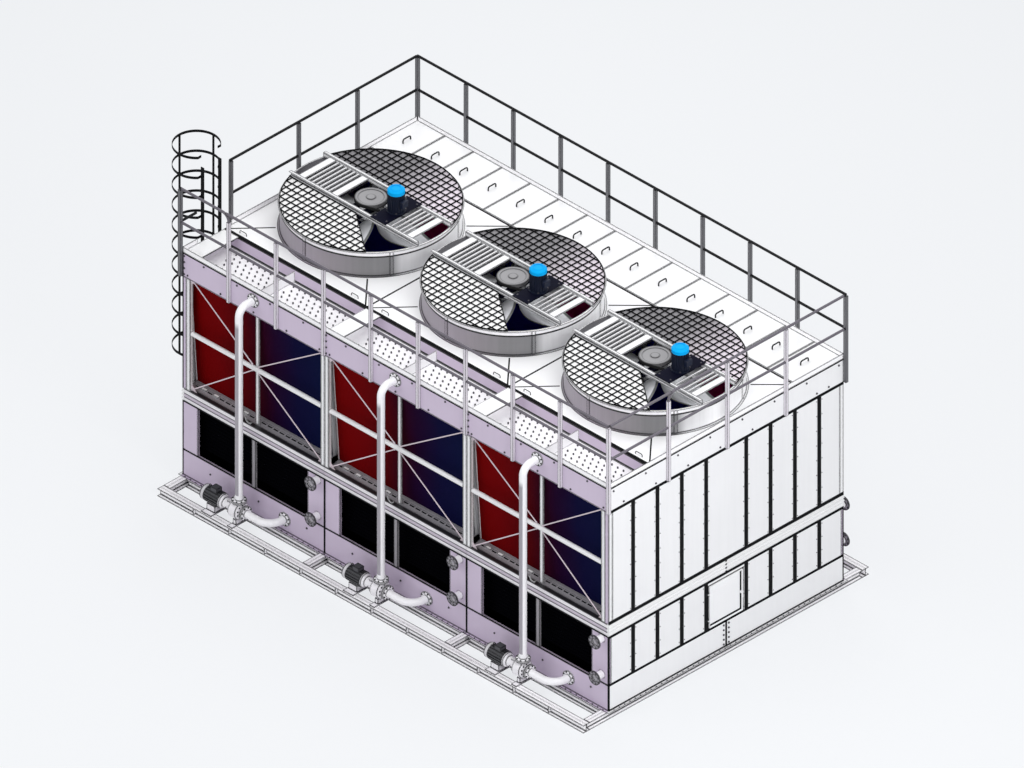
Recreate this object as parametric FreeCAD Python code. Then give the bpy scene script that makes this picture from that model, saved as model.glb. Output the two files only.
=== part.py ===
import FreeCAD, Part
import math
import os

os.makedirs("parts", exist_ok=True)

V = FreeCAD.Vector

# Closed circuit cooling tower: three equal cells in a row on one frame of rolled beams.
# The origin is the middle of the footprint on the ground. X runs along the cells,
# the pump side faces -Y and Z is up. All sizes are in millimetres.

# Overall sizes
cell_count = 3
cell_length = 2800.0
body_width = 4630.0
sheet = 4.0
seam_gap = 4.0
seat_gap = 0.3
fit_gap = 1.0
cut_extra = 1.0
corner_overrun = 100.0
corner_reach = 300.0
corner_depth = 1000.0

# Base frame of rolled beams
beam_depth = 125.0
beam_flange_width = 125.0
beam_flange = 9.0
beam_web = 6.5
base_ledge = 500.0

# Heights above the top of the base frame
basin_height = 440.0
basin_flange = 45.0
basin_lip = 40.0
band_bottom = 1248.0
band_top = 1464.0
band_depth = 100.0
band_rib = 10.0
band_rib_count = 3
band_rib_start_ratio = 0.14
band_rib_pitch_ratio = 0.27
band_rib_height_ratio = 0.17
fascia_flange = 60.0
fascia_lip = 70.0
fascia_bottom = 3332.0
fascia_top = 3736.0
deck_thickness = 8.0
trough_depth = 225.0
rim_above_deck = 410.0
rail_height = 1087.0

# Side bays
lower_panel_left = 300.0
lower_panel_right = 335.0
bay_post_width = 75.0
bay_post_depth = 60.0
corner_post_width = 70.0
girt_diameter = 70.0
girt_height = 2421.0
girt_gap = 3.0
mid_post_size = 60.0
mid_post_depth = 26.0
mullion_width = 70.0
brace_diameter = 18.0
brace_spread = 62.0
brace_lug = 6.0
brace_lug_width = 24.0
brace_lug_height = 32.0
brace_start = 20.0
brace_gusset = 95.0

# Fill and coils
fill_depth = 1000.0
fill_setback_top = 112.0
fill_setback_bottom = 240.0
fill_top = 3318.0
fill_inset = 48.0
sill_rise = 30.0
fill_side_plate = 6.0
fill_side_proud = 28.0
fill_clearance = 20.0
sill_gap = 2.0
coil_setback = 150.0
coil_depth = 950.0
coil_bottom = 470.0
coil_top = 1190.0
coil_tube_diameter = 45.0
coil_tube_pitch = 60.0
coil_end_plate = 10.0
coil_plate_edge = 10.0
coil_end_left = 120.0
coil_end_right = 360.0

# Inner frame
inner_post = 80.0
deck_beam_height = 80.0
fill_beam_width = 50.0

# Water troughs and deck
trough_divider_drop = 40.0
covers_per_cell = 5
cover_gap = 6.0
cover_height = 25.0
cover_sheet = 3.0
handle_rod = 20.0
handle_width = 150.0
handle_rise = 62.0
handle_bend = 30.0
handle_from_back = 490.0
trough_plate = 290.0

# Fans and drives
fan_margin = 134.5
deck_front_margin = 234.5
deck_back_margin = 99.5
stack_wall = 8.0
stack_rim_width = 30.0
stack_rim_thickness = 10.0
stack_foot_width = 38.0
stack_joint_count = 6
stack_joint_turn = -32.0
stack_strap_width = 45.0
stack_strap_thickness = 6.0
blade_count = 6
blade_tip_gap = 14.0
hub_diameter = 420.0
hub_height = 90.0
hub_level = 150.0
hub_edge_width = 25.0
hub_edge_height = 20.0
blade_chord_root = 400.0
blade_chord_tip = 290.0
blade_pitch_root = 40.0
blade_pitch_tip = 17.0
blade_thickness_ratio = 0.11
blade_camber_ratio = 0.045
rotor_rest_turn = 58.0
shaft_diameter = 60.0
sheave_diameter = 450.0
sheave_height = 56.0
sheave_groove_count = 3
sheave_lift = 22.0
sheave_boss = 130.0
sheave_rim = 40.0
sheave_web_low = 14.0
sheave_web_drop = 8.0
sheave_boss_rise = 4.0
sheave_gap = 2.0
groove_depth = 10.0
motor_sheave_diameter = 130.0
belt_thickness = 12.0
belt_height = 44.0
belt_gap = 1.5
drive_beam_height = 76.0
drive_beam_width = 50.0
drive_beam_offset = 340.0
drive_beam_wall = 7.0
motor_offset = 496.0
motor_diameter = 250.0
motor_body_height = 300.0
motor_cap_height = 70.0
motor_cap_edge = 22.0
motor_foot_width = 15.0
motor_foot_height = 18.0
motor_fin_count = 20
motor_fin_depth = 12.0
motor_shaft = 38.0
motor_shaft_gap = 1.0
motor_neck = 6.0
motor_plate = 300.0
motor_plate_thickness = 10.0
bridge_gap = 76.0
bridge_width = 60.0
bridge_height = 70.0
housing_depth = 140.0
housing_radius = 70.0
housing_flange = 135.0
housing_plate = 14.0
bearing_gap = 0.08
slat_width = 38.0
slat_height = 18.0
slat_gap = 42.0
slat_lift = 40.0
slat_plate_width = 120.0
slat_start = 359.0
slat_stop = 1150.0
motor_side_extra = 320.0
guard_pitch = 212.0
guard_bar = 10.0
guard_open_from = 300.0
guard_gap = 6.0

# Handrails
post_size = 48.0
rail_diameter = 40.0
rail_bend = 120.0
long_rail_bay_count = 9
end_rail_bay_count = 4
mid_rail_drop = 585.0
post_foot_gap = 12.0
corner_post_lap = 6.0
toe_board_height = 90.0
toe_board_thickness = 5.0
ladder_gate = 330.0

# Ladder and cage
ladder_from_front = 623.0
ladder_width = 340.0
ladder_offset = 60.0
stringer_width = 60.0
stringer_thickness = 12.0
rung_diameter = 22.0
rung_pitch = 300.0
ladder_bottom = 250.0
ladder_top_drop = 190.0
ladder_bracket = 60.0
low_bracket_drop = 90.0
middle_bracket_drop = 110.0
high_bracket_rise = 200.0
top_rung_rise = 100.0
cage_gap = 5.0
cage_diameter = 690.0
cage_bottom = 1715.0
cage_top = 5100.0
hoop_count = 11
hoop_height = 40.0
hoop_thickness = 8.0
cage_strap_width = 40.0
strap_thickness = 6.0

# Pumps and pipes, from the left end of each cell
pipe_diameter = 112.0
pipe_wall = 5.0
flange_diameter = 220.0
flange_thickness = 20.0
flange_pcd = 180.0
flange_hole = 18.0
flange_hole_count = 8
pump_from_front = 293.0
pump_height = 215.0
pump_motor_start = 746.0
pump_motor_length = 334.0
pump_motor_diameter = 240.0
pump_motor_fin_count = 18
pump_motor_fin_depth = 16.0
pump_hood_length = 70.0
pump_hood_step = 3.0
pump_box_start = 150.0
pump_box_length = 120.0
pump_box_width = 110.0
pump_box_rise = 55.0
pump_box_sink = 16.0
pump_foot_start = 90.0
pump_foot_length = 200.0
pump_casing_foot = 100.0
pump_foot_plate = 14.0
pump_foot_edge = 20.0
pump_foot_gap = 6.0
pump_rib_width = 180.0
pump_foot_wrap = 22.0
pump_casing_wrap = 16.0
pump_centre = 1404.0
pump_volute_diameter = 270.0
pump_volute_width = 130.0
pump_volute_edge = 20.0
pump_volute_nose = 30.0
pump_lantern = 75.0
pump_lantern_step = 8.0
pump_lantern_rim = 25.0
pump_lantern_taper = 60.0
pump_volute_bevel = 12.0
pump_neck_flare = 8.0
pump_neck_start = 15.0
pump_neck_end = 25.0
pump_outlet_bore_start = 40.0
pump_inlet = 1530.0
pump_outlet_height = 370.0
suction_centre = 2021.0
suction_bend = 230.0
riser_height = 3594.0
riser_bend = 150.0
nozzle_from_right = 137.0
nozzle_reach = 153.0
nozzle_heights = (576.0, 1179.0)
header_size = 160.0
header_proud = 20.0
header_below = 10.0
header_above = 40.0
header_bore = 60.0

# End walls
panels_beside_door_count = 4
door_panel_width = 790.0
panel_depth = 40.0
panel_gap = 8.0
door_stile = 64.0
door_width = 619.0
door_height = 653.0
door_sill = 500.0
door_lap = 18.0
door_leaf = 26.0
door_edge = 8.0
door_gap = 5.0
door_raised_edge = 60.0
door_raised = 4.0
latch_reach = 30.0
latch_size = 30.0
latch_from_edge = 20.0
grip_width = 24.0
grip_thickness = 12.0
grip_below = 90.0
grip_above = 20.0
hinge_pin = 10.0
hinge_barrel = 18.0
hinge_length = 70.0
hinge_clearance = 0.1
hinge_from_edge = 70.0
hinge_end_gap = 0.5
hinge_stand_off = 6.0
hinge_side_gap = 4.0
hinge_plate = 5.0
hinge_plate_width = 45.0
hinge_web = 6.0

# Worked-out places
body_length = cell_count * cell_length
left = -body_length / 2
right = body_length / 2
front = -body_width / 2
back = body_width / 2
base_top = beam_depth
fascia_low = base_top + fascia_bottom
fascia_high = base_top + fascia_top
deck_low = fascia_high
deck_high = deck_low + deck_thickness
band_low = base_top + band_bottom
band_high = base_top + band_top
basin_high = base_top + basin_height
trough_low = fascia_high - trough_depth
fan_bore = cell_length - 2 * fan_margin
deck_front = -fan_bore / 2 - deck_front_margin
deck_back = fan_bore / 2 + deck_back_margin
rim_high = deck_high + rim_above_deck
inner_frame_y = -(front + fill_setback_bottom + fill_depth + fill_clearance + inner_post / 2)
panel_narrow = (body_width - door_panel_width) / (2 * panels_beside_door_count)


def cell_left(cell):
    return left + cell * cell_length


def cell_centre(cell):
    return cell_left(cell) + cell_length / 2


def slab(x0, x1, y0, y1, z0, z1):
    corner = V(min(x0, x1), min(y0, y1), min(z0, z1))
    return Part.makeBox(abs(x1 - x0), abs(y1 - y0), abs(z1 - z0), corner)


def face_of(points):
    return Part.Face(Part.makePolygon(points + [points[0]]))


def along_x(outline, x0, x1):
    """Profile given as (y, z) points, drawn out from x0 to x1."""
    points = [V(x0, y, z) for y, z in outline]
    return face_of(points).extrude(V(x1 - x0, 0, 0))


def along_y(outline, y0, y1):
    """Profile given as (x, z) points, drawn out from y0 to y1."""
    points = [V(x, y0, z) for x, z in outline]
    return face_of(points).extrude(V(0, y1 - y0, 0))


def along_z(outline, z0, z1):
    """Profile given as (x, y) points, drawn out from z0 to z1."""
    points = [V(x, y, z0) for x, y in outline]
    return face_of(points).extrude(V(0, 0, z1 - z0))


def rod(start, end, diameter):
    path = end.sub(start)
    return Part.makeCylinder(diameter / 2, path.Length, start, path)


def turned(outline, centre, axis=V(0, 0, 1)):
    """Outline of (radius, height) points turned about Z, then set at centre along axis."""
    points = [V(r, 0, h) for r, h in outline]
    solid = face_of(points).revolve(V(0, 0, 0), V(0, 0, 1), 360)
    turn = FreeCAD.Rotation(V(0, 0, 1), axis)
    solid.Placement = FreeCAD.Placement(centre, turn)
    return Part.makeCompound([solid]).Solids[0]


def side_wedge():
    """Plan area of the pieces on the long front, mitred at both corners."""
    return along_z([
        (left - corner_reach + seat_gap, front - corner_reach),
        (right + corner_reach - seat_gap, front - corner_reach),
        (right - corner_depth - seat_gap, front + corner_depth),
        (left + corner_depth + seat_gap, front + corner_depth),
    ], 0, rim_high)


def end_wedge():
    """Plan area of the pieces on the right end, mitred at both corners."""
    return along_z([
        (right + corner_reach, front - corner_reach + seat_gap),
        (right + corner_reach, back + corner_reach - seat_gap),
        (right - corner_depth, back - corner_depth - seat_gap),
        (right - corner_depth, front + corner_depth + seat_gap),
    ], 0, rim_high)


def side_pieces(outline):
    """One piece a cell along the front, from points given as (distance outwards, height)."""
    pieces = []
    for cell in range(cell_count):
        x0 = cell_left(cell) + seam_gap / 2
        x1 = cell_left(cell + 1) - seam_gap / 2
        if cell == 0:
            x0 = left - corner_overrun
        if cell == cell_count - 1:
            x1 = right + corner_overrun
        strip = along_x([(front - out, z) for out, z in outline], x0, x1)
        pieces.append(strip.common(side_wedge()))
    return pieces


def end_pieces(outline):
    """Two pieces on the right end, from points given as (distance outwards, height)."""
    pieces = []
    for y0, y1 in ((front - corner_overrun, -seam_gap / 2), (seam_gap / 2, back + corner_overrun)):
        strip = along_y([(right + out, z) for out, z in outline], y0, y1)
        pieces.append(strip.common(end_wedge()))
    return pieces


def mirrored_to_back(shapes):
    return [s.mirror(V(0, 0, 0), V(0, 1, 0)) for s in shapes]


def mirrored_to_left(shapes):
    return [s.mirror(V(0, 0, 0), V(1, 0, 0)) for s in shapes]


def in_each_cell(shapes):
    """Copies, one set a cell, of shapes made for a cell whose left end is at X = 0."""
    copies = []
    for cell in range(cell_count):
        for shape in shapes:
            copy = shape.copy()
            copy.translate(V(cell_left(cell), 0, 0))
            copies.append(copy)
    return copies


nodes = {}


def save(name, shapes):
    solids = []
    for shape in shapes:
        solids += shape.Solids
    nodes[name] = solids
    Part.makeCompound(solids).exportStep("parts/" + name + ".step")


# Base frame

def i_outline(centre, bottom):
    half = beam_flange_width / 2
    web = beam_web / 2
    top = bottom + beam_depth
    return [
        (centre - half, bottom),
        (centre + half, bottom),
        (centre + half, bottom + beam_flange),
        (centre + web, bottom + beam_flange),
        (centre + web, top - beam_flange),
        (centre + half, top - beam_flange),
        (centre + half, top),
        (centre - half, top),
        (centre - half, top - beam_flange),
        (centre - web, top - beam_flange),
        (centre - web, bottom + beam_flange),
        (centre - half, bottom + beam_flange),
    ]


def base_frame():
    half = beam_flange_width / 2
    outer_y = front - base_ledge + half
    cross_x = [left + half]
    for cell in range(1, cell_count):
        cross_x.append(cell_left(cell))
    cross_x.append(right - half)
    long_beams = [along_x(i_outline(y, 0), left, right) for y in (outer_y, -outer_y)]
    cross_beams = [along_y(i_outline(x, 0), outer_y + half, -outer_y - half) for x in cross_x]
    inner_beams = []
    for x0, x1 in zip(cross_x[:-1], cross_x[1:]):
        for y in (front, 0, back):
            inner_beams.append(along_x(i_outline(y, 0), x0 + half, x1 - half))
    save("base_long_beams", long_beams + inner_beams)
    save("base_cross_beams", cross_beams)


# Cold water basin

def basin():
    floor_top = base_top + sheet
    save("basin_floor", [slab(left, right, front, back, base_top, floor_top)])
    wall = [
        (basin_flange, floor_top), (-sheet, floor_top), (-sheet, basin_high - sheet),
        (-basin_lip, basin_high - sheet), (-basin_lip, basin_high), (0, basin_high),
        (0, floor_top + 2 * sheet), (basin_flange, floor_top + 2 * sheet),
    ]
    walls = side_pieces(wall)
    drilled = []
    for cell, piece in enumerate(walls):
        x = cell_left(cell) + suction_centre
        z = base_top + pump_height
        bore = rod(V(x, front - basin_flange, z), V(x, front + 2 * sheet, z), pipe_diameter - 2 * pipe_wall)
        drilled.append(piece.cut(bore))
    ends = end_pieces(wall)
    save("basin_walls", drilled + mirrored_to_back(walls) + ends + mirrored_to_left(ends))


# Lower bays

def channel_plan(x0, x1, depth):
    """Plan of a pressed panel whose face is on the front and whose edges turn inwards."""
    return [
        (x0, front), (x1, front), (x1, front + depth), (x1 - sheet, front + depth),
        (x1 - sheet, front + sheet), (x0 + sheet, front + sheet),
        (x0 + sheet, front + depth), (x0, front + depth),
    ]


def lower_panels():
    plain = []
    drilled = []
    for cell in range(cell_count):
        x0 = cell_left(cell) + seam_gap / 2
        x1 = cell_left(cell + 1) - seam_gap / 2
        a = cell_left(cell) + lower_panel_left
        b = cell_left(cell + 1) - lower_panel_right
        plain.append(along_z(channel_plan(x0, a, panel_depth), basin_high, band_low))
        panel = along_z(channel_plan(b, x1, panel_depth), basin_high, band_low)
        x = cell_left(cell + 1) - nozzle_from_right
        for height in nozzle_heights:
            z = base_top + height
            hole = rod(V(x, front - sheet, z), V(x, front + 2 * sheet, z), pipe_diameter + 2 * seat_gap)
            panel = panel.cut(hole)
        drilled.append(panel)
    save("lower_panels", plain + drilled + mirrored_to_back(plain + drilled))
    mullions = []
    for cell in range(cell_count):
        x = cell_centre(cell)
        mullions.append(slab(x - mullion_width / 2, x + mullion_width / 2,
                             front + fit_gap, front + basin_lip, basin_high, band_low))
    save("coil_mullions", mullions + mirrored_to_back(mullions))


def mid_bands():
    span = band_top - band_bottom
    outline = [(-band_depth, band_low), (0, band_low)]
    for rib in range(band_rib_count):
        low = band_low + span * (band_rib_start_ratio + band_rib_pitch_ratio * rib)
        high = low + span * band_rib_height_ratio
        outline += [(0, low), (band_rib, low + band_rib), (band_rib, high - band_rib), (0, high)]
    outline += [
        (0, band_high), (-band_depth, band_high), (-band_depth, band_high - sheet),
        (-sheet, band_high - sheet), (-sheet, band_low + sheet), (-band_depth, band_low + sheet),
    ]
    sides = side_pieces(outline)
    ends = end_pieces(outline)
    save("mid_bands", sides + mirrored_to_back(sides) + ends + mirrored_to_left(ends))


# Upper bays

def bay_edges(cell):
    x0 = cell_left(cell) + seam_gap / 2 + bay_post_width
    x1 = cell_left(cell + 1) - seam_gap / 2 - bay_post_width
    if cell == 0:
        x0 += corner_post_width
    if cell == cell_count - 1:
        x1 -= corner_post_width
    return x0, x1


def bay_posts():
    posts = []
    for cell in range(cell_count):
        x0, x1 = bay_edges(cell)
        for a, b in ((x0 - bay_post_width, x0), (x1, x1 + bay_post_width)):
            posts.append(along_z(channel_plan(a, b, bay_post_depth), band_high, fascia_low))
    save("bay_posts", posts + mirrored_to_back(posts))
    plan = [
        (right, front), (right, front + corner_post_width),
        (right - sheet, front + corner_post_width), (right - sheet, front + sheet),
        (right - corner_post_width, front + sheet), (right - corner_post_width, front),
    ]
    corners = [along_z(plan, band_high, fascia_low)]
    corners += mirrored_to_back(corners)
    corners += mirrored_to_left(corners)
    save("corner_posts", corners)


def bay_framing():
    girts = []
    mid_posts = []
    braces = []
    girt_y = front + girt_diameter / 2 + girt_gap
    girt_z = base_top + girt_height
    post_y = girt_y + girt_diameter / 2
    for cell in range(cell_count):
        x0, x1 = bay_edges(cell)
        xc = cell_centre(cell)
        girts.append(rod(V(x0, girt_y, girt_z), V(x1, girt_y, girt_z), girt_diameter))
        mid_posts.append(slab(xc - mid_post_size / 2, xc + mid_post_size / 2,
                              post_y, post_y + mid_post_depth, band_high + sheet, fascia_low))
        for side, x in ((-1, x0), (1, x1)):
            for up, z in ((-1, band_high), (1, fascia_low)):
                pipe_edge = girt_z + up * girt_diameter / 2
                start = V(xc + side * brace_spread, girt_y, pipe_edge + up * brace_start)
                end = V(x - side * 2 * brace_diameter, girt_y, z - up * 2 * brace_diameter)
                lug_front = girt_y - brace_lug / 2
                lug_back = girt_y + brace_lug / 2
                lug = slab(start.x - brace_lug_width / 2, start.x + brace_lug_width / 2,
                           lug_front, lug_back, pipe_edge, pipe_edge + up * brace_lug_height)
                corner = along_y([(x, z), (x - side * brace_gusset, z), (x, z - up * brace_gusset)],
                                 lug_front, lug_back)
                braces.append(rod(start, end, brace_diameter).fuse([lug, corner]).removeSplitter())
    save("bay_girts", girts + mirrored_to_back(girts))
    save("bay_mid_posts", mid_posts + mirrored_to_back(mid_posts))
    save("bay_braces", braces + mirrored_to_back(braces))


def fascias():
    outline = [
        (0, fascia_low), (-fascia_flange, fascia_low), (-fascia_flange, fascia_low + sheet),
        (-sheet, fascia_low + sheet), (-sheet, fascia_high - sheet),
        (-fascia_lip, fascia_high - sheet), (-fascia_lip, fascia_high), (0, fascia_high),
    ]
    sides = side_pieces(outline)
    ends = end_pieces(outline)
    save("fascias", sides + mirrored_to_back(sides) + ends + mirrored_to_left(ends))


# Fill and coils

def fill():
    foot = band_high + sill_rise
    head = base_top + fill_top
    sill_front = front + bay_post_depth + sill_gap
    pack_foot = front + fill_setback_bottom
    pack_head = front + fill_setback_top
    sill_back = pack_foot + fill_depth + fill_clearance
    sill = [
        (sill_front, band_high), (front + band_depth, band_high),
        (pack_foot - fill_side_proud, foot - sheet), (sill_back, foot - sheet),
        (sill_back, foot), (pack_foot - fill_side_proud, foot),
        (front + band_depth, band_high + sheet), (sill_front, band_high + sheet),
    ]
    pack = [
        (pack_foot, foot), (pack_foot + fill_depth, foot),
        (pack_head + fill_depth, head), (pack_head, head),
    ]
    plate = [
        (pack_foot - fill_side_proud, foot), (pack_foot + fill_depth, foot),
        (pack_head + fill_depth, head), (pack_head - fill_side_proud, head),
    ]
    sills = []
    packs = []
    plates = []
    for cell in range(cell_count):
        x0 = cell_left(cell) + fill_inset
        x1 = cell_left(cell + 1) - fill_inset
        sills.append(along_x(sill, x0, x1))
        packs.append(along_x(pack, x0 + fill_side_plate, x1 - fill_side_plate))
        plates.append(along_x(plate, x0, x0 + fill_side_plate))
        plates.append(along_x(plate, x1 - fill_side_plate, x1))
    save("fill_sills", sills + mirrored_to_back(sills))
    save("fill_packs", packs + mirrored_to_back(packs))
    save("fill_side_plates", plates + mirrored_to_back(plates))


def coils():
    low = base_top + coil_bottom
    high = base_top + coil_top
    radius = coil_tube_diameter / 2
    count = int((high - low) // coil_tube_pitch)
    y0 = front + coil_setback
    y1 = y0 + coil_depth
    xa = coil_end_left
    xb = cell_length - coil_end_right
    core = slab(xa, xb, y0 + radius, y1 - radius, low, low + count * coil_tube_pitch)
    tubes = []
    for row in range(count):
        z = low + (row + 0.5) * coil_tube_pitch
        for y in (y0 + radius, y1 - radius):
            tubes.append(rod(V(xa, y, z), V(xb, y, z), coil_tube_diameter))
    bundles = in_each_cell([core.fuse(tubes).removeSplitter()])
    ends = []
    for a, b in ((xa - coil_end_plate, xa), (xb, xb + coil_end_plate)):
        ends.append(slab(a, b, y0 - coil_plate_edge, y1 + coil_plate_edge, base_top + sheet, band_low))
    plates = in_each_cell(ends)
    hx = cell_length - nozzle_from_right
    header_front = y0 - header_proud
    header = slab(xb + coil_end_plate, hx + header_size / 2, header_front, header_front + header_size,
                  low - header_below, high + header_above)
    face = front - nozzle_reach
    for height in nozzle_heights:
        z = base_top + height
        neck = rod(V(hx, face + flange_thickness, z), V(hx, header_front, z), pipe_diameter)
        flange = rod(V(hx, face, z), V(hx, face + flange_thickness, z), flange_diameter)
        header = header.fuse([neck, flange])
        bore = rod(V(hx, face - cut_extra, z), V(hx, y0 + header_bore, z), pipe_diameter - 2 * pipe_wall)
        header = header.cut([bore] + flange_drill(V(hx, face - cut_extra, z), V(0, 1, 0)))
    headers = in_each_cell([header])
    save("coil_bundles", bundles + mirrored_to_back(bundles))
    save("coil_end_plates", plates + mirrored_to_back(plates))
    save("coil_headers", headers + mirrored_to_back(headers))


def flange_drill(centre, axis):
    """Bolt holes of one pipe flange, straddling the upright."""
    side = V(0, 0, 1).cross(axis)
    if side.Length < 0.5:
        side = V(1, 0, 0)
    other = axis.cross(side)
    holes = []
    for index in range(flange_hole_count):
        turn = 2 * math.pi * (index + 0.5) / flange_hole_count
        offset = side * (math.cos(turn) * flange_pcd / 2) + other * (math.sin(turn) * flange_pcd / 2)
        start = centre + offset
        holes.append(rod(start, start + axis * (flange_thickness + 2 * cut_extra), flange_hole))
    return holes


# Inner frame

def inner_frame():
    posts = []
    beams = []
    half = inner_post / 2
    beam_top = band_high + sill_rise - sheet
    end_inset = band_depth + sheet + half
    xs = [left + end_inset]
    for cell in range(1, cell_count):
        xs.append(cell_left(cell))
    xs.append(right - end_inset)
    y = -inner_frame_y
    for x in xs:
        posts.append(slab(x - half, x + half, y - half, y + half,
                          base_top + sheet, deck_low - deck_beam_height))
    for x0, x1 in zip(xs[:-1], xs[1:]):
        beams.append(slab(x0 + half, x1 - half, y - half, y - half + fill_beam_width,
                          beam_top - deck_beam_height, beam_top))
    beams.append(slab(left + fascia_lip + fit_gap, right - fascia_lip - fit_gap, y - half, y + half,
                      deck_low - deck_beam_height, deck_low))
    save("inner_posts", posts + mirrored_to_back(posts))
    save("inner_beams", beams + mirrored_to_back(beams))


# Hot water troughs, covers and fan deck

def trough(inner, outer):
    """Open trough of pressed sheet between the fascia and the deck edge, one length a cell."""
    step = 1 if inner > outer else -1
    wall = outer + step * sheet
    outline = [
        (wall, trough_low), (inner, trough_low), (inner, deck_low),
        (inner - step * sheet, deck_low), (inner - step * sheet, trough_low + sheet),
        (wall + step * sheet, trough_low + sheet), (wall + step * sheet, fascia_high - 3 * sheet),
        (wall, fascia_high - 3 * sheet),
    ]
    pieces = []
    for cell in range(cell_count):
        x0 = cell_left(cell) + (seam_gap / 2 if cell else sheet)
        x1 = cell_left(cell + 1) - (seam_gap / 2 if cell < cell_count - 1 else sheet)
        piece = along_x(outline, x0, x1)
        for edge in (left, right):
            notch = slab(edge - fascia_lip - fit_gap, edge + fascia_lip + fit_gap,
                         inner - 2 * sheet, inner + 2 * sheet,
                         deck_low - sheet - seat_gap, deck_low + cut_extra)
            piece = piece.cut(notch)
        pieces.append(piece)
    return pieces


def troughs():
    save("water_troughs", trough(deck_front, front) + trough(deck_back, back))
    plates = []
    for cell in range(cell_count):
        x0 = cell_left(cell) + toe_board_thickness + fit_gap
        plates.append(slab(x0, x0 + trough_plate, front + toe_board_thickness, deck_front - fit_gap,
                           fascia_high, fascia_high + sheet))
        xc = cell_centre(cell)
        plates.append(slab(xc - sheet / 2, xc + sheet / 2, front + 3 * sheet, deck_front - sheet,
                           trough_low + sheet, fascia_high - trough_divider_drop))
    save("trough_plates", plates)


def fan_deck():
    plates = []
    edge = toe_board_thickness + fit_gap
    for cell in range(cell_count):
        x0 = cell_left(cell) + (seam_gap / 2 if cell else edge)
        x1 = cell_left(cell + 1) - (seam_gap / 2 if cell < cell_count - 1 else edge)
        plate = slab(x0, x1, deck_front, deck_back, deck_low, deck_high)
        xc = cell_centre(cell)
        throat = rod(V(xc, 0, deck_low - cut_extra), V(xc, 0, deck_high + cut_extra), fan_bore)
        plates.append(plate.cut(throat))
    save("fan_deck", plates)


def back_covers():
    covers = []
    handles = []
    pitch = cell_length / covers_per_cell
    for cell in range(cell_count):
        for index in range(covers_per_cell):
            x0 = cell_left(cell) + pitch * index + cover_gap
            x1 = x0 + pitch - 2 * cover_gap
            y0 = deck_back + fit_gap
            y1 = back - toe_board_thickness - fit_gap
            z1 = fascia_high + cover_height
            shell = slab(x0, x1, y0, y1, fascia_high, z1)
            hollow = slab(x0 + cover_sheet, x1 - cover_sheet, y0 + cover_sheet, y1 - cover_sheet,
                          fascia_high - cut_extra, z1 - cover_sheet)
            covers.append(shell.cut(hollow))
            handles.append(cover_handle((x0 + x1) / 2, back - handle_from_back, z1))
    save("back_covers", covers)
    save("cover_handles", handles)


def cover_handle(x, y, z):
    half = handle_width / 2
    bend = handle_bend
    rise = handle_rise
    k = bend * (1 - math.sqrt(0.5))
    foot = V(x, y - half, z)
    p1 = V(x, y - half, z + rise - bend)
    m1 = V(x, y - half + k, z + rise - k)
    p2 = V(x, y - half + bend, z + rise)
    p3 = V(x, y + half - bend, z + rise)
    m2 = V(x, y + half - k, z + rise - k)
    p4 = V(x, y + half, z + rise - bend)
    end = V(x, y + half, z)
    path = Part.Wire([
        Part.makeLine(foot, p1), Part.Arc(p1, m1, p2).toShape(), Part.makeLine(p2, p3),
        Part.Arc(p3, m2, p4).toShape(), Part.makeLine(p4, end),
    ])
    ring = Part.Wire([Part.makeCircle(handle_rod / 2, foot, V(0, 0, 1))])
    return path.makePipeShell([ring], True, False)


# Fans

def fan_stacks():
    """Rolled stack with a foot and a rim flange, in sheets that meet under upright straps."""
    bore = fan_bore / 2
    wall = bore + stack_wall
    foot = deck_high + stack_rim_thickness
    rim = rim_high - stack_rim_thickness
    outline = [
        (bore, deck_high), (wall + stack_foot_width, deck_high), (wall + stack_foot_width, foot),
        (wall, foot), (wall, rim), (wall + stack_rim_width, rim),
        (wall + stack_rim_width, rim_high), (bore, rim_high),
    ]
    straps = []
    for index in range(stack_joint_count):
        strap = slab(wall - stack_wall / 2, wall + stack_strap_thickness,
                     -stack_strap_width / 2, stack_strap_width / 2, foot, rim)
        strap.rotate(V(0, 0, 0), V(0, 0, 1), stack_joint_turn + 360.0 * index / stack_joint_count)
        straps.append(strap)
    stack = turned(outline, V(0, 0, 0)).fuse(straps).removeSplitter()
    stack.translate(V(cell_length / 2, 0, 0))
    save("fan_stacks", in_each_cell([stack]))


def blade_section(radius, chord, pitch, thickness):
    """Cambered aerofoil across the blade at one radius, leading edge first and turned by its pitch."""
    steps = 5
    upper = []
    lower = []
    for step in range(steps + 1):
        t = (1 - math.cos(math.pi * step / steps)) / 2
        half = thickness * 5 * chord * (0.2969 * math.sqrt(t) - 0.126 * t - 0.3516 * t ** 2
                                        + 0.2843 * t ** 3 - 0.1036 * t ** 4)
        camber = blade_camber_ratio * chord * 4 * t * (1 - t)
        upper.append(((t - 0.5) * chord, camber + half))
        lower.append(((t - 0.5) * chord, camber - half))
    turn = math.radians(pitch)

    def place(point):
        along, up = point
        return V(radius, along * math.cos(turn) - up * math.sin(turn),
                 along * math.sin(turn) + up * math.cos(turn))

    top = Part.BSplineCurve()
    top.interpolate([place(p) for p in upper])
    bottom = Part.BSplineCurve()
    bottom.interpolate([place(p) for p in reversed(lower)])
    return Part.Wire([top.toShape(), bottom.toShape()])


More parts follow.
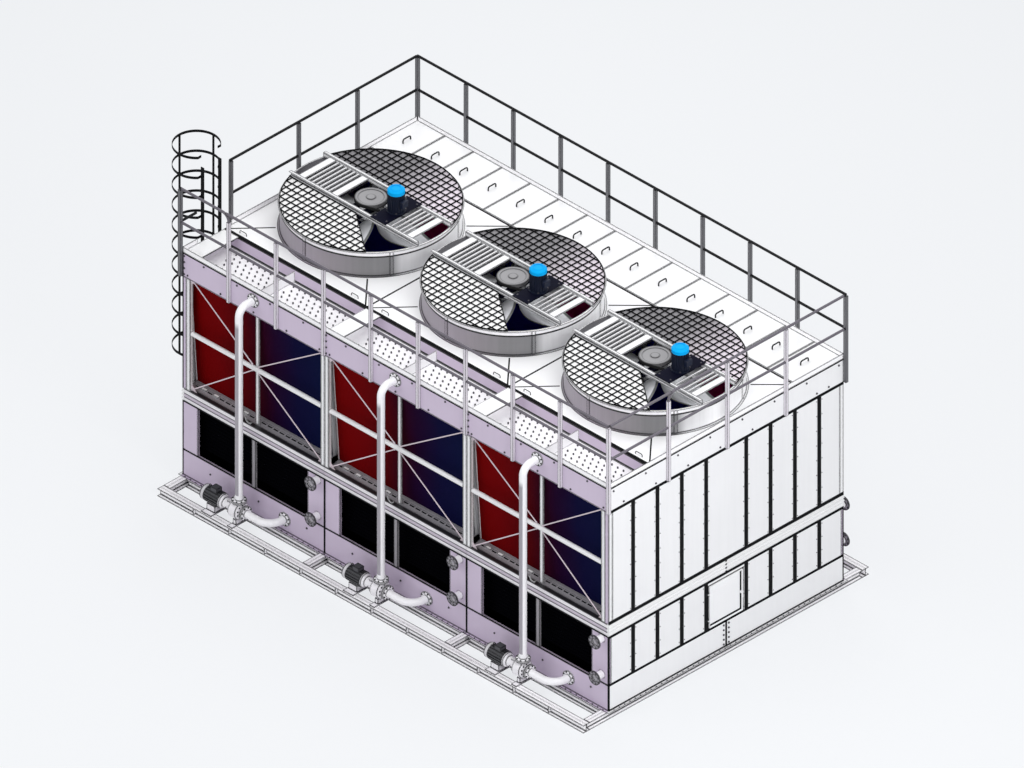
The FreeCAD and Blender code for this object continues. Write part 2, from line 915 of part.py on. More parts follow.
def fan_blade():
    hub = hub_diameter / 2
    tip = fan_bore / 2 - blade_tip_gap
    stations = (
        (hub * 0.86, blade_chord_root * 0.45, blade_pitch_root, blade_thickness_ratio * 2.0),
        (hub * 1.9, blade_chord_root, blade_pitch_root * 0.86, blade_thickness_ratio * 1.2),
        ((hub + tip) * 0.56, blade_chord_root * 0.9, blade_pitch_root * 0.58, blade_thickness_ratio),
        (tip, blade_chord_tip, blade_pitch_tip, blade_thickness_ratio * 0.85),
    )
    return Part.makeLoft([blade_section(*station) for station in stations], True, False)


def fan_rotors():
    hub_low = deck_high + hub_level
    hub_high = hub_low + hub_height
    radius = hub_diameter / 2
    face = radius - hub_edge_width
    bore = shaft_diameter / 2 + seat_gap
    hub = turned([
        (bore, hub_low), (face, hub_low), (radius, hub_low + hub_edge_height),
        (radius, hub_high - hub_edge_height), (face, hub_high), (bore, hub_high),
    ], V(0, 0, 0))
    blade = fan_blade()
    blades = []
    for index in range(blade_count):
        copy = blade.copy()
        copy.translate(V(0, 0, (hub_low + hub_high) / 2))
        copy.rotate(V(0, 0, 0), V(0, 0, 1), 360.0 * index / blade_count)
        blades.append(copy)
    rotor = hub.fuse(blades).removeSplitter()
    rotor.rotate(V(0, 0, 0), V(0, 0, 1), rotor_rest_turn)
    spindle = fan_spindle(hub_low)
    for cell in range(cell_count):
        place = V(cell_centre(cell), 0, 0)
        wheel = rotor.copy()
        wheel.translate(place)
        save("fan_rotor_%d" % (cell + 1), [wheel])
        pin = spindle.copy()
        pin.translate(place)
        save("fan_sheave_%d" % (cell + 1), [pin])


def fan_spindle(shaft_low):
    """Shaft and grooved sheave of one fan, turned in one outline."""
    low = rim_high + sheave_lift
    high = low + sheave_height
    outer = sheave_diameter / 2
    inner = outer - sheave_rim
    shaft = shaft_diameter / 2
    boss = sheave_boss / 2
    web_low = low + sheave_web_low
    web_high = high - sheave_web_drop
    top = high + sheave_boss_rise
    outline = [
        (0, shaft_low), (shaft, shaft_low), (shaft, low - sheave_gap), (boss, low - sheave_gap),
        (boss, web_low), (inner, web_low), (inner, low), (outer, low),
    ]
    groove = sheave_height / sheave_groove_count
    for index in range(sheave_groove_count):
        base = low + groove * index
        outline += [(outer, base + groove * 0.2), (outer - groove_depth, base + groove * 0.4),
                    (outer - groove_depth, base + groove * 0.6), (outer, base + groove * 0.8)]
    outline += [(outer, high), (inner, high), (inner, web_high), (boss, web_high), (boss, top), (0, top)]
    return turned(outline, V(0, 0, 0))


def fan_drives():
    reach = math.sqrt((fan_bore / 2 + stack_wall + stack_rim_width) ** 2 - drive_beam_offset ** 2)
    low = rim_high
    high = low + drive_beam_height
    half = drive_beam_width / 2
    inner = drive_beam_offset - half
    outer = drive_beam_offset + half
    wall = drive_beam_wall
    channel = [
        (inner, low), (outer, low), (outer, low + wall), (inner + wall, low + wall),
        (inner + wall, high - wall), (outer, high - wall), (outer, high), (inner, high),
    ]
    xc = cell_length / 2
    beams = [along_x([(sign * y, z) for y, z in channel], xc - reach, xc + reach) for sign in (-1, 1)]
    slats = []
    for x, width in slat_row(slat_start, True):
        slats.append(slat(xc - x, width, inner, low))
    for x, width in slat_row(slat_start + motor_side_extra, False):
        slats.append(slat(xc + x, width, inner, low))
    supports = []
    for sign in (-1, 1):
        supports.append(slab(xc + sign * bridge_gap, xc + sign * (bridge_gap + bridge_width), -outer, outer,
                             low - bridge_height, low))
    motor_x = xc + motor_offset
    plate = slab(motor_x - motor_plate / 2, motor_x + motor_plate / 2,
                 -outer, outer, high, high + motor_plate_thickness)
    stub = rod(V(motor_x, 0, high - cut_extra), V(motor_x, 0, high + motor_plate_thickness + cut_extra),
               motor_shaft + 2 * motor_shaft_gap)
    supports.append(plate.cut(stub))
    bore = shaft_diameter / 2 + bearing_gap
    housing = turned([
        (bore, low - housing_depth), (housing_radius, low - housing_depth), (housing_radius, low),
        (housing_flange, low), (housing_flange, low + housing_plate), (bore, low + housing_plate),
    ], V(xc, 0, 0))
    save("drive_beams", in_each_cell(beams))
    save("drive_slats", in_each_cell(slats))
    save("drive_supports", in_each_cell(supports))
    save("bearing_housings", in_each_cell([housing]))


def slat_row(start, inner_plate):
    """Centres and widths of one walkway's slats, out from the drive, ending in a wide step plate."""
    row = []
    edge = start
    if inner_plate:
        row.append((edge + slat_plate_width / 2, slat_plate_width))
        edge += slat_plate_width + slat_gap
    while edge + slat_width + slat_gap + slat_plate_width <= slat_stop:
        row.append((edge + slat_width / 2, slat_width))
        edge += slat_width + slat_gap
    row.append((edge + slat_plate_width / 2, slat_plate_width))
    return row


def slat(x, width, inner, low):
    return slab(x - width / 2, x + width / 2, -inner, inner,
                low + slat_lift, low + slat_lift + slat_height)


def belt_loop(radius_a, radius_b, distance):
    """Plan outline of a loop round two circles: radius_a at the origin, radius_b along +X."""
    lean = math.acos((radius_a - radius_b) / distance)
    pa = V(radius_a * math.cos(lean), radius_a * math.sin(lean), 0)
    pb = V(distance + radius_b * math.cos(lean), radius_b * math.sin(lean), 0)
    qa = V(pa.x, -pa.y, 0)
    qb = V(pb.x, -pb.y, 0)
    return Part.Wire([
        Part.Arc(pa, V(-radius_a, 0, 0), qa).toShape(), Part.makeLine(qa, qb),
        Part.Arc(qb, V(distance + radius_b, 0, 0), pb).toShape(), Part.makeLine(pb, pa),
    ])


def fan_motors():
    base = rim_high + drive_beam_height + motor_plate_thickness
    radius = motor_diameter / 2
    low_radius = radius - motor_fin_depth
    x = cell_length / 2 + motor_offset
    plan = []
    for index in range(motor_fin_count):
        for step, r in ((0.0, low_radius), (0.25, radius), (0.5, radius), (0.75, low_radius)):
            turn = 2 * math.pi * (index + step) / motor_fin_count
            plan.append((x + r * math.cos(turn), r * math.sin(turn)))
    top = base + motor_body_height
    body = along_z(plan, base + motor_foot_height, top)
    foot = rod(V(x, 0, base), V(x, 0, base + motor_foot_height), motor_diameter + 2 * motor_foot_width)
    low = rim_high + sheave_lift
    high = low + sheave_height
    stub = rod(V(x, 0, high), V(x, 0, base), motor_shaft)
    wheel = rod(V(x, 0, low + sheave_gap), V(x, 0, high - motor_neck), motor_sheave_diameter)
    neck = rod(V(x, 0, high - motor_neck), V(x, 0, high), motor_shaft)
    motor = body.fuse([foot, stub, neck, wheel]).removeSplitter()
    cap = turned([
        (0, top), (radius, top), (radius, top + motor_cap_height - motor_cap_edge),
        (radius - motor_cap_edge, top + motor_cap_height), (0, top + motor_cap_height),
    ], V(x, 0, 0))
    ra = sheave_diameter / 2 + belt_gap
    rb = motor_sheave_diameter / 2 + seat_gap
    outer = Part.Face(belt_loop(ra + belt_thickness, rb + belt_thickness, motor_offset))
    inner = Part.Face(belt_loop(ra, rb, motor_offset))
    belt = outer.cut(inner).extrude(V(0, 0, belt_height))
    belt.translate(V(cell_length / 2, 0, low + (sheave_height - belt_height) / 2))
    save("fan_motors", in_each_cell([motor]))
    save("motor_caps", in_each_cell([cap]))
    save("drive_belts", in_each_cell([belt]))


def fan_guards():
    """Two flat grids a fan: a short one before the open corner at the front and a full one behind."""
    guards = []
    radius = fan_bore / 2 + stack_wall + stack_rim_width - guard_gap
    near = drive_beam_offset + drive_beam_width / 2 + guard_gap
    z0 = rim_high
    z1 = rim_high + guard_bar
    half = guard_bar / 2
    xc = cell_length / 2
    round_area = rod(V(xc, 0, z0 - cut_extra), V(xc, 0, z1 + cut_extra), 2 * radius)
    for sign, last in ((-1, guard_open_from), (1, radius)):
        bars = [slab(xc - radius, xc + last, sign * near, sign * (near + guard_bar), z0, z1)]
        y = near + guard_pitch
        while y < radius:
            bars.append(slab(xc - radius, xc + last, sign * (y - half), sign * (y + half), z0, z1))
            y += guard_pitch
        count = int(radius // guard_pitch)
        for index in range(-count, count + 1):
            x = index * guard_pitch
            if x < last:
                bars.append(slab(xc + x - half, xc + x + half, sign * near, sign * radius, z0, z1))
        if last < radius:
            bars.append(slab(xc + last - guard_bar, xc + last, sign * near, sign * radius, z0, z1))
        guards.append(bars[0].fuse(bars[1:]).common(round_area).removeSplitter())
    save("fan_guards", in_each_cell(guards))


# Handrails

def rail_places(count, low, high):
    return [low + (high - low) * index / count for index in range(count + 1)]


def rail_elbow(foot, along, diameter):
    """Quarter bend that leads a pipe up from foot and off along the given way."""
    axis = V(0, 0, 1).cross(along)
    ring = Part.Face(Part.Wire([Part.makeCircle(diameter / 2, foot, V(0, 0, 1))]))
    return ring.revolve(foot + along * rail_bend, axis, 90)


def bent_rail(foot, along, near_end, far_end):
    """Top rail that grows out of a post's bend, its straight length, and the length coped to its back."""
    bend = rail_elbow(foot, along, rail_diameter)
    start = foot + along * (rail_bend + seat_gap) + V(0, 0, rail_bend)
    straight = rod(start, far_end, rail_diameter)
    behind = math.sqrt((rail_bend + rail_diameter / 2) ** 2 - rail_bend ** 2) - rail_bend
    coped = rod(foot - along * behind + V(0, 0, rail_bend), near_end, rail_diameter)
    coped = coped.cut(rail_elbow(foot, along, rail_diameter + 2 * seat_gap))
    return [bend, straight, coped]


def rail_posts(long_places, end_places, landing):
    top = deck_high + rail_height
    out = post_size / 2
    post_top = top - rail_diameter
    bent_top = top - rail_diameter / 2 - rail_bend - seat_gap
    low = fascia_low + post_foot_gap
    y0 = front - post_size
    posts = []
    for x in long_places[1:-1]:
        posts.append(slab(x - out, x + out, y0, front, low, post_top))
    posts.append(slab(right - corner_post_lap, right + post_size, y0, front, low, post_top))
    posts += mirrored_to_left(posts[-1:])
    posts += mirrored_to_back(posts)
    bent_x = long_places[1]
    posts[0] = slab(bent_x - out, bent_x + out, y0, front, low, bent_top)
    for y in end_places[1:-1]:
        height = bent_top if y == end_places[1] else post_top
        posts.append(slab(right, right + post_size, y - out, y + out, low, height))
    for y in end_places[2:-1]:
        posts.append(slab(left - post_size, left, y - out, y + out, low, post_top))
    posts.append(slab(left - post_size, left, landing, landing + post_size, low, post_top))
    save("rail_posts", posts)


def side_rails(long_places):
    top = deck_high + rail_height
    out = post_size / 2
    line = front - out
    top_z = top - rail_diameter / 2
    mid_z = top - mid_rail_drop
    foot = V(long_places[1], line, top_z - rail_bend)
    rails = bent_rail(foot, V(-1, 0, 0), V(right + out, line, top_z), V(left - out, line, top_z))
    rails.append(rod(V(left - out, -line, top_z), V(right + out, -line, top_z), rail_diameter))
    for sign in (1, -1):
        for x0, x1 in zip(long_places[:-1], long_places[1:]):
            a = x0 + (out if x0 > left else corner_post_lap)
            b = x1 - (out if x1 < right else corner_post_lap)
            rails.append(rod(V(a, sign * line, mid_z), V(b, sign * line, mid_z), rail_diameter))
    save("side_rails", rails)


def end_rails(end_places, landing, short):
    top = deck_high + rail_height
    out = post_size / 2
    rail = rail_diameter / 2
    top_z = top - rail
    mid_z = top - mid_rail_drop
    x = right + out
    foot = V(x, end_places[1], top_z - rail_bend)
    rails = bent_rail(foot, V(0, 1, 0), V(x, front - out + rail, top_z), V(x, back + out - rail, top_z))
    for y0, y1 in zip(end_places[:-1], end_places[1:]):
        a = y0 + (out if y0 > front else 0)
        b = y1 - (out if y1 < back else 0)
        rails.append(rod(V(x, a, mid_z), V(x, b, mid_z), rail_diameter))
    x = left - out
    rails.append(rod(V(x, landing, top_z), V(x, back + out - rail, top_z), rail_diameter))
    stops = [landing + post_size - out] + end_places[2:]
    for y0, y1 in zip(stops[:-1], stops[1:]):
        b = y1 - (out if y1 < back else 0)
        rails.append(rod(V(x, y0 + out, mid_z), V(x, b, mid_z), rail_diameter))
    rails.append(rod(V(x, front, mid_z), V(x, short, mid_z), rail_diameter))
    save("end_rails", rails)


def handrails():
    """Posts, rails and toe boards, open beside the ladder from short to landing."""
    long_places = rail_places(long_rail_bay_count, left, right)
    end_places = rail_places(end_rail_bay_count, front, back)
    landing = front + ladder_from_front + ladder_gate
    short = front + ladder_from_front - ladder_gate
    rail_posts(long_places, end_places, landing)
    side_rails(long_places)
    end_rails(end_places, landing, short)
    z0 = fascia_high
    z1 = fascia_high + toe_board_height
    t = toe_board_thickness
    y0 = front + t + fit_gap
    y1 = back - t - fit_gap
    boards = [
        slab(left, right, front, front + t, z0, z1),
        slab(left, right, back - t, back, z0, z1),
        slab(right - t, right, y0, y1, z0, z1),
        slab(left, left + t, landing, y1, z0, z1),
        slab(left, left + t, y0, short, z0, z1),
    ]
    save("toe_boards", boards)


# Ladder and safety cage

def ladder():
    """Stringers with their rungs, and the brackets that hold them off the wall."""
    x = left - ladder_offset
    y = front + ladder_from_front
    half = ladder_width / 2
    top = base_top + cage_top - ladder_top_drop
    t = stringer_thickness / 2
    w = stringer_width / 2
    brackets = (basin_high - low_bracket_drop, band_low - middle_bracket_drop,
                fascia_low + high_bracket_rise)
    parts = []
    stays = []
    for sign in (-1, 1):
        ys = y + sign * half
        parts.append(slab(x - w, x + w, ys - t, ys + t, ladder_bottom, top))
        for height in brackets:
            stays.append(slab(x + w, left, ys - t, ys + t, height, height + ladder_bracket))
    z = ladder_bottom + rung_pitch / 2
    while z < deck_high + top_rung_rise:
        rung = []
        for corner in range(8):
            turn = math.pi * corner / 4
            rung.append((x + rung_diameter / 2 * math.cos(turn), z + rung_diameter / 2 * math.sin(turn)))
        parts.append(along_y(rung, y - half + t, y + half - t))
        z += rung_pitch
    save("ladder", [parts[0].fuse(parts[1:]).removeSplitter()])
    save("ladder_brackets", stays)


def safety_cage():
    """Hoops whose ends turn in to the ladder's stringers, and the upright straps inside them."""
    y = front + ladder_from_front
    outer = cage_diameter / 2
    inner = outer - hoop_thickness
    cx = left - outer - cage_gap
    open_x = left - ladder_offset - stringer_width / 2
    stringer_y = ladder_width / 2 - stringer_thickness / 2
    reach = math.sqrt(outer ** 2 - (open_x - cx) ** 2)
    hoops = []
    rise = (cage_top - cage_bottom - hoop_height) / (hoop_count - 1)
    for index in range(hoop_count):
        z0 = base_top + cage_bottom + rise * index
        z1 = z0 + hoop_height
        ring = Part.makeCylinder(outer, hoop_height, V(cx, y, z0)).cut(
            Part.makeCylinder(inner, hoop_height, V(cx, y, z0)))
        ring = ring.cut(slab(open_x, cx + 2 * outer, y - outer, y + outer, z0 - cut_extra, z1 + cut_extra))
        tabs = []
        for sign in (-1, 1):
            tabs.append(slab(open_x - hoop_thickness, open_x,
                             y + sign * stringer_y, y + sign * reach, z0, z1))
        hoops.append(ring.fuse(tabs).removeSplitter())
    low = base_top + cage_bottom
    height = cage_top - cage_bottom
    bore = Part.makeCylinder(inner, height, V(cx, y, low))
    straps = []
    for turn in (90, 180, 270):
        bar = slab(inner - strap_thickness, inner, -cage_strap_width / 2, cage_strap_width / 2, 0, height)
        bar.rotate(V(0, 0, 0), V(0, 0, 1), turn)
        bar.translate(V(cx, y, low))
        straps.append(bar.common(bore))
    save("cage_hoops", hoops)
    save("cage_straps", straps)


# Spray pumps and pipes

def pump_axis():
    """Y and Z of the pump shafts."""
    return front - pump_from_front, base_top + pump_height


def pump_casing():
    """Lantern, volute, suction neck and discharge flange of one pump."""
    y, z = pump_axis()
    radius = pump_volute_diameter / 2
    start = pump_motor_start + pump_motor_length
    lantern = pump_motor_diameter / 2 - pump_lantern_step
    face = pump_centre - pump_volute_width / 2
    far = pump_centre + pump_volute_width / 2
    pipe = pipe_diameter / 2
    rim = flange_diameter / 2
    bore_diameter = pipe_diameter - 2 * pipe_wall
    outline = [
        (0, start), (lantern, start), (lantern, start + pump_lantern_rim),
        (pump_lantern, start + pump_lantern_taper), (pump_lantern, face - 2 * pump_volute_edge),
        (radius - pump_volute_bevel, face - 2 * pump_volute_edge), (radius, face - pump_volute_edge),
        (radius, far - pump_volute_edge), (radius - pump_volute_nose, far),
        (pipe + pump_neck_flare, far + pump_neck_start), (pipe, far + pump_neck_end),
        (pipe, pump_inlet - flange_thickness),
        (rim, pump_inlet - flange_thickness), (rim, pump_inlet), (0, pump_inlet),
    ]
    casing = turned(outline, V(0, y, z), V(1, 0, 0))
    top = base_top + pump_outlet_height
    neck = rod(V(pump_centre, y, z), V(pump_centre, y, top - flange_thickness), pipe_diameter)
    flange = rod(V(pump_centre, y, top - flange_thickness), V(pump_centre, y, top), flange_diameter)
    inlet = rod(V(far, y, z), V(pump_inlet + cut_extra, y, z), bore_diameter)
    outlet = rod(V(pump_centre, y, z + pump_outlet_bore_start), V(pump_centre, y, top + cut_extra),
                 bore_diameter)
    return casing.fuse([neck, flange]).cut([inlet, outlet]).removeSplitter()


def pump_motor():
    """Finned frame with a smooth fan hood and a terminal box on top."""
    y, z = pump_axis()
    high = pump_motor_diameter / 2
    low = high - pump_motor_fin_depth
    points = []
    for index in range(pump_motor_fin_count):
        for step, r in ((0.0, low), (0.3, low), (0.38, high), (0.92, high)):
            turn = 2 * math.pi * (index + step) / pump_motor_fin_count
            points.append((y + r * math.cos(turn), z + r * math.sin(turn)))
    hood_end = pump_motor_start + pump_hood_length
    body = along_x(points, hood_end, pump_motor_start + pump_motor_length)
    hood = rod(V(pump_motor_start, y, z), V(hood_end, y, z), pump_motor_diameter - 2 * pump_hood_step)
    box_start = pump_motor_start + pump_box_start
    box = slab(box_start, box_start + pump_box_length, y - pump_box_width / 2, y + pump_box_width / 2,
               z + low - pump_box_sink, z + high + pump_box_rise)
    return body.fuse([hood, box]).removeSplitter()


def pump_stand(x0, length, diameter, wrap):
    """Foot plate and a cradle that wraps the lower side of a round body."""
    y, z = pump_axis()
    rib_low = base_top + pump_foot_plate
    plate = slab(x0, x0 + length, front - base_ledge + pump_foot_edge,
                 front - basin_flange - pump_foot_gap, base_top, rib_low)
    rib = slab(x0 + pump_foot_edge, x0 + length - pump_foot_edge,
               y - pump_rib_width / 2, y + pump_rib_width / 2, rib_low, z - diameter / 2 + wrap)
    hollow = rod(V(x0, y, z), V(x0 + length, y, z), diameter + 2 * seat_gap)
    return plate.fuse(rib).cut(hollow).removeSplitter()


def pumps():
    motor_foot = pump_stand(pump_motor_start + pump_foot_start, pump_foot_length, pump_motor_diameter,
                            pump_foot_wrap)
    casing_foot = pump_stand(pump_centre - pump_casing_foot / 2, pump_casing_foot, pump_volute_diameter,
                             pump_casing_wrap)
    save("pump_casings", in_each_cell([pump_casing()]))
    save("pump_motors", in_each_cell([pump_motor()]))
    save("pump_stands", in_each_cell([motor_foot, casing_foot]))


def pipe_run(points, radius):
    """Pipe along straight legs joined by equal bends, with its bore cut right through."""
    edges = []
    start = points[0]
    for index in range(1, len(points) - 1):
        corner = points[index]
        before = corner.sub(points[index - 1]).normalize()
        after = points[index + 1].sub(corner).normalize()
        a = corner - before * radius
        b = corner + after * radius
        middle = corner + (after - before) * radius - (after - before).normalize() * radius
        edges.append(Part.makeLine(start, a))
        edges.append(Part.Arc(a, middle, b).toShape())
        start = b
    edges.append(Part.makeLine(start, points[-1]))
    path = Part.Wire(edges)
    direction = points[1].sub(points[0])
    outer = Part.Wire([Part.makeCircle(pipe_diameter / 2, points[0], direction)])
    inner = Part.Wire([Part.makeCircle(pipe_diameter / 2 - pipe_wall, points[0], direction)])
    body = path.makePipeShell([outer], True, False)
    return body.cut(path.makePipeShell([inner], True, False))


def pipes():
    y, z = pump_axis()
    face = front - flange_thickness
    suction = pipe_run([V(pump_inlet + flange_thickness, y, z), V(suction_centre, y, z),
                        V(suction_centre, face, z)], suction_bend)
    suction = suction.fuse([ring_flange(V(pump_inlet, y, z), V(1, 0, 0)),
                            ring_flange(V(suction_centre, face, z), V(0, 1, 0))])
    low = base_top + pump_outlet_height
    high = base_top + riser_height
    riser = pipe_run([V(pump_centre, y, low + flange_thickness), V(pump_centre, y, high),
                      V(pump_centre, face, high)], riser_bend)
    riser = riser.fuse([ring_flange(V(pump_centre, y, low), V(0, 0, 1)),
                        ring_flange(V(pump_centre, face, high), V(0, 1, 0))])
    save("spray_pipes", in_each_cell([suction, riser]))


def ring_flange(start, axis):
    disc = rod(start, start + axis * flange_thickness, flange_diameter)
    bore = rod(start - axis * cut_extra, start + axis * (flange_thickness + cut_extra),
               pipe_diameter - 2 * pipe_wall)
    return disc.cut(bore)


# End walls and access door

def panel_plan(y0, y1):
    """Plan of a pressed panel on the right end, edges turned inwards."""
    return [
        (right, y0), (right, y1), (right - panel_depth, y1), (right - panel_depth, y1 - sheet),
        (right - sheet, y1 - sheet), (right - sheet, y0 + sheet),
        (right - panel_depth, y0 + sheet), (right - panel_depth, y0),
    ]


def panel_edges():
    edges = [front + panel_narrow * index for index in range(panels_beside_door_count + 1)]
    edges += [-y for y in reversed(edges)]
    return edges


def end_walls():
    edges = panel_edges()
    upper = []
    lower = []
    for index, (y0, y1) in enumerate(zip(edges[:-1], edges[1:])):
        a = y0 + panel_gap / 2
        b = y1 - panel_gap / 2
        if index == 0:
            a = front + corner_post_width + fit_gap
        if index == len(edges) - 2:
            b = back - corner_post_width - fit_gap
        upper.append(along_z(panel_plan(a, b), band_high, fascia_low))
        if index == 0:
            a = front + panel_depth + fit_gap
        if index == len(edges) - 2:
            b = back - panel_depth - fit_gap
        lower.append(along_z(panel_plan(a, b), basin_high, band_low))
    middle = len(lower) // 2
    closed = lower[middle]
    narrow = lower[:middle] + lower[middle + 1:]
    save("upper_end_panels", upper + mirrored_to_left(upper))
    save("lower_end_panels", narrow + mirrored_to_left(narrow + [closed]))


def access_door():
    edges = panel_edges()
    y0 = edges[panels_beside_door_count] + panel_gap / 2
    y1 = edges[panels_beside_door_count + 1] - panel_gap / 2
    a = edges[panels_beside_door_count] + door_stile
    b = a + door_width
    low = base_top + door_sill
    high = low + door_height
    frame = slab(right - panel_depth, right, y0, y1, basin_high, band_low)
    hole = slab(right - panel_depth - cut_extra, right + cut_extra, a, b, low, high)
    save("door_frame", [frame.cut(hole)])
    x = right + door_gap
    face = x + door_leaf
    leaf = slab(x, face, a - door_lap, b + door_lap, low - door_lap, high + door_lap)
    outer = [edge for edge in leaf.Edges
             if abs(edge.CenterOfMass.x - face) < seat_gap and edge.Length > 2 * door_leaf]
    leaf = leaf.makeFillet(door_edge, outer)
    raised = slab(face, face + door_raised, a + door_raised_edge, b - door_raised_edge,
                  low + door_raised_edge, high - door_raised_edge)
    heights = (low + hinge_from_edge, high - hinge_from_edge - hinge_length)
    moving, fixed = door_hinge_pieces(a - door_lap, heights)
    latch_y = b - latch_from_edge
    middle = (low + high) / 2
    latch = slab(face, face + latch_reach, latch_y - latch_size, latch_y,
                 middle - latch_size / 2, middle + latch_size / 2)
    grip_y = latch_y - latch_size / 2
    grip = slab(face + latch_reach, face + latch_reach + grip_thickness,
                grip_y - grip_width / 2, grip_y + grip_width / 2, middle - grip_below, middle + grip_above)
    save("access_door", [leaf.fuse([raised, latch, grip] + moving).removeSplitter()])
    save("door_hinges", fixed)


def door_hinge_pieces(leaf_edge, heights):
    """Knuckles and straps that turn with the leaf, and the pins and plates that stay on the frame."""
    pin_x = right + hinge_barrel / 2 + hinge_stand_off
    pin_y = leaf_edge - hinge_barrel / 2 - hinge_side_gap
    third = hinge_length / 3
    moving = []
    fixed = []
    for z in heights:
        mid0 = z + third + hinge_end_gap
        mid1 = z + 2 * third - hinge_end_gap
        barrel = Part.makeCylinder(hinge_barrel / 2, mid1 - mid0, V(pin_x, pin_y, mid0))
        strap = slab(pin_x - hinge_web / 2, pin_x + hinge_web / 2, pin_y, leaf_edge + fit_gap, mid0, mid1)
        bore = Part.makeCylinder(hinge_pin / 2 + hinge_clearance, hinge_length, V(pin_x, pin_y, z))
        moving.append(barrel.fuse(strap).cut(bore))
        plate = slab(right, right + hinge_plate, pin_y - hinge_plate_width,
                     pin_y - hinge_barrel / 2 - fit_gap, z, z + hinge_length)
        pieces = [Part.makeCylinder(hinge_pin / 2, hinge_length, V(pin_x, pin_y, z))]
        for k0, k1 in ((z, z + third), (z + 2 * third, z + hinge_length)):
            pieces.append(Part.makeCylinder(hinge_barrel / 2, k1 - k0, V(pin_x, pin_y, k0)))
            pieces.append(slab(right, right + hinge_plate, pin_y - hinge_barrel, pin_y, k0, k1))
            pieces.append(slab(right, pin_x, pin_y - hinge_web / 2, pin_y + hinge_web / 2, k0, k1))
        fixed.append(plate.fuse(pieces).removeSplitter())
    return moving, fixed


base_frame()
basin()
lower_panels()
mid_bands()
bay_posts()
bay_framing()
fascias()
fill()
coils()
inner_frame()
troughs()
fan_deck()
back_covers()
fan_stacks()
fan_rotors()
fan_drives()
fan_motors()
fan_guards()
handrails()
ladder()
safety_cage()
pumps()
pipes()
end_walls()
access_door()
print(len(nodes), "nodes,", sum(len(solids) for solids in nodes.values()), "solids")
for name, solids in nodes.items():
    for solid in solids:
        if not solid.isValid() or solid.Volume < 1:
            print("bad solid in", name)
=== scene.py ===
import math
import bpy
import bmesh
from mathutils import Vector, Matrix


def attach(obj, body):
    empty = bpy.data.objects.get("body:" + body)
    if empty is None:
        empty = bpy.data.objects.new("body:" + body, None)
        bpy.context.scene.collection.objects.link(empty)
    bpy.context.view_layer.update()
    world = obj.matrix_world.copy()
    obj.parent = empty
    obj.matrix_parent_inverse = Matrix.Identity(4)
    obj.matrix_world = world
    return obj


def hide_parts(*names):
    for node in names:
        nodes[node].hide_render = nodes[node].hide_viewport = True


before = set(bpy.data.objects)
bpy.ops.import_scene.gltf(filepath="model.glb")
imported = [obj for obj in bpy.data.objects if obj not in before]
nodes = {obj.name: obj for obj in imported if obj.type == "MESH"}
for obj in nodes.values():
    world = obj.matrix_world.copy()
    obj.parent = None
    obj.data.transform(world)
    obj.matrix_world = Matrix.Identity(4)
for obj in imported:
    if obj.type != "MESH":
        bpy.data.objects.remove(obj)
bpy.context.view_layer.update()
print("frame loaded,", len(nodes), "nodes")

# sizes shared by many pieces, in metres
tower = {
    "left": -4.2, "right": 4.2, "front": -2.315, "back": 2.315,
    "cells": 3, "cellLong": 2.8, "baseTop": 0.125,
    "basinTop": 0.565, "bandLow": 1.373, "bandTop": 1.589,
    "fasciaLow": 3.457, "fasciaTop": 3.861, "deckTop": 3.869,
    "rimTop": 4.279, "deckFront": -1.5, "deckBack": 1.365,
}
cells = range(tower["cells"])


def cellLeft(cell):
    return tower["left"] + cell * tower["cellLong"]


def cellMid(cell):
    return cellLeft(cell) + tower["cellLong"] / 2


def within(cell, ends):
    return [cellLeft(cell) + end for end in ends]


# modelling helpers

def unpick():
    if bpy.context.object and bpy.context.object.mode != "OBJECT":
        bpy.ops.object.mode_set(mode="OBJECT")
    bpy.ops.object.select_all(action="DESELECT")


def pick(obj):
    unpick()
    obj.select_set(True)
    bpy.context.view_layer.objects.active = obj


def settle(obj):
    # puts the object's place into its mesh
    pick(obj)
    bpy.ops.object.transform_apply(location=True, rotation=True, scale=True)


def applyAll(obj):
    pick(obj)
    for mod in list(obj.modifiers):
        bpy.ops.object.modifier_apply(modifier=mod.name)


def softEdges(obj, width, segments=2):
    mod = obj.modifiers.new("edge", "BEVEL")
    mod.width = width
    mod.segments = segments
    mod.limit_method = "ANGLE"
    mod.angle_limit = math.radians(40)
    applyAll(obj)


def block(name, low, high, edge=0.0):
    # a cube drawn out to its two corners, edges eased
    unpick()
    middle = [(a + b) / 2 for a, b in zip(low, high)]
    bpy.ops.mesh.primitive_cube_add(size=1, location=middle)
    obj = bpy.context.object
    obj.name = name
    obj.scale = [abs(b - a) for a, b in zip(low, high)]
    settle(obj)
    if edge:
        softEdges(obj, edge)
    return obj


def drum(name, radius, depth, centre, sides=24, edge=0.0):
    unpick()
    bpy.ops.mesh.primitive_cylinder_add(vertices=sides, radius=radius, depth=depth, location=centre)
    obj = bpy.context.object
    obj.name = name
    settle(obj)
    if edge:
        softEdges(obj, edge)
    return obj


def facesWhere(obj, test):
    # picks faces by a test on their normal, in edit mode
    pick(obj)
    bpy.ops.object.mode_set(mode="EDIT")
    bpy.ops.mesh.select_mode(type="FACE")
    bpy.ops.mesh.select_all(action="DESELECT")
    mesh = bmesh.from_edit_mesh(obj.data)
    for face in mesh.faces:
        face.select = test(face.normal)
    mesh.select_flush_mode()
    bmesh.update_edit_mesh(obj.data)


def insetPicked(thickness, depth=0.0):
    bpy.ops.mesh.inset(thickness=thickness, depth=depth)


def liftPicked(height):
    bpy.ops.transform.translate(value=(0, 0, height))


def doneEditing():
    bpy.ops.object.mode_set(mode="OBJECT")


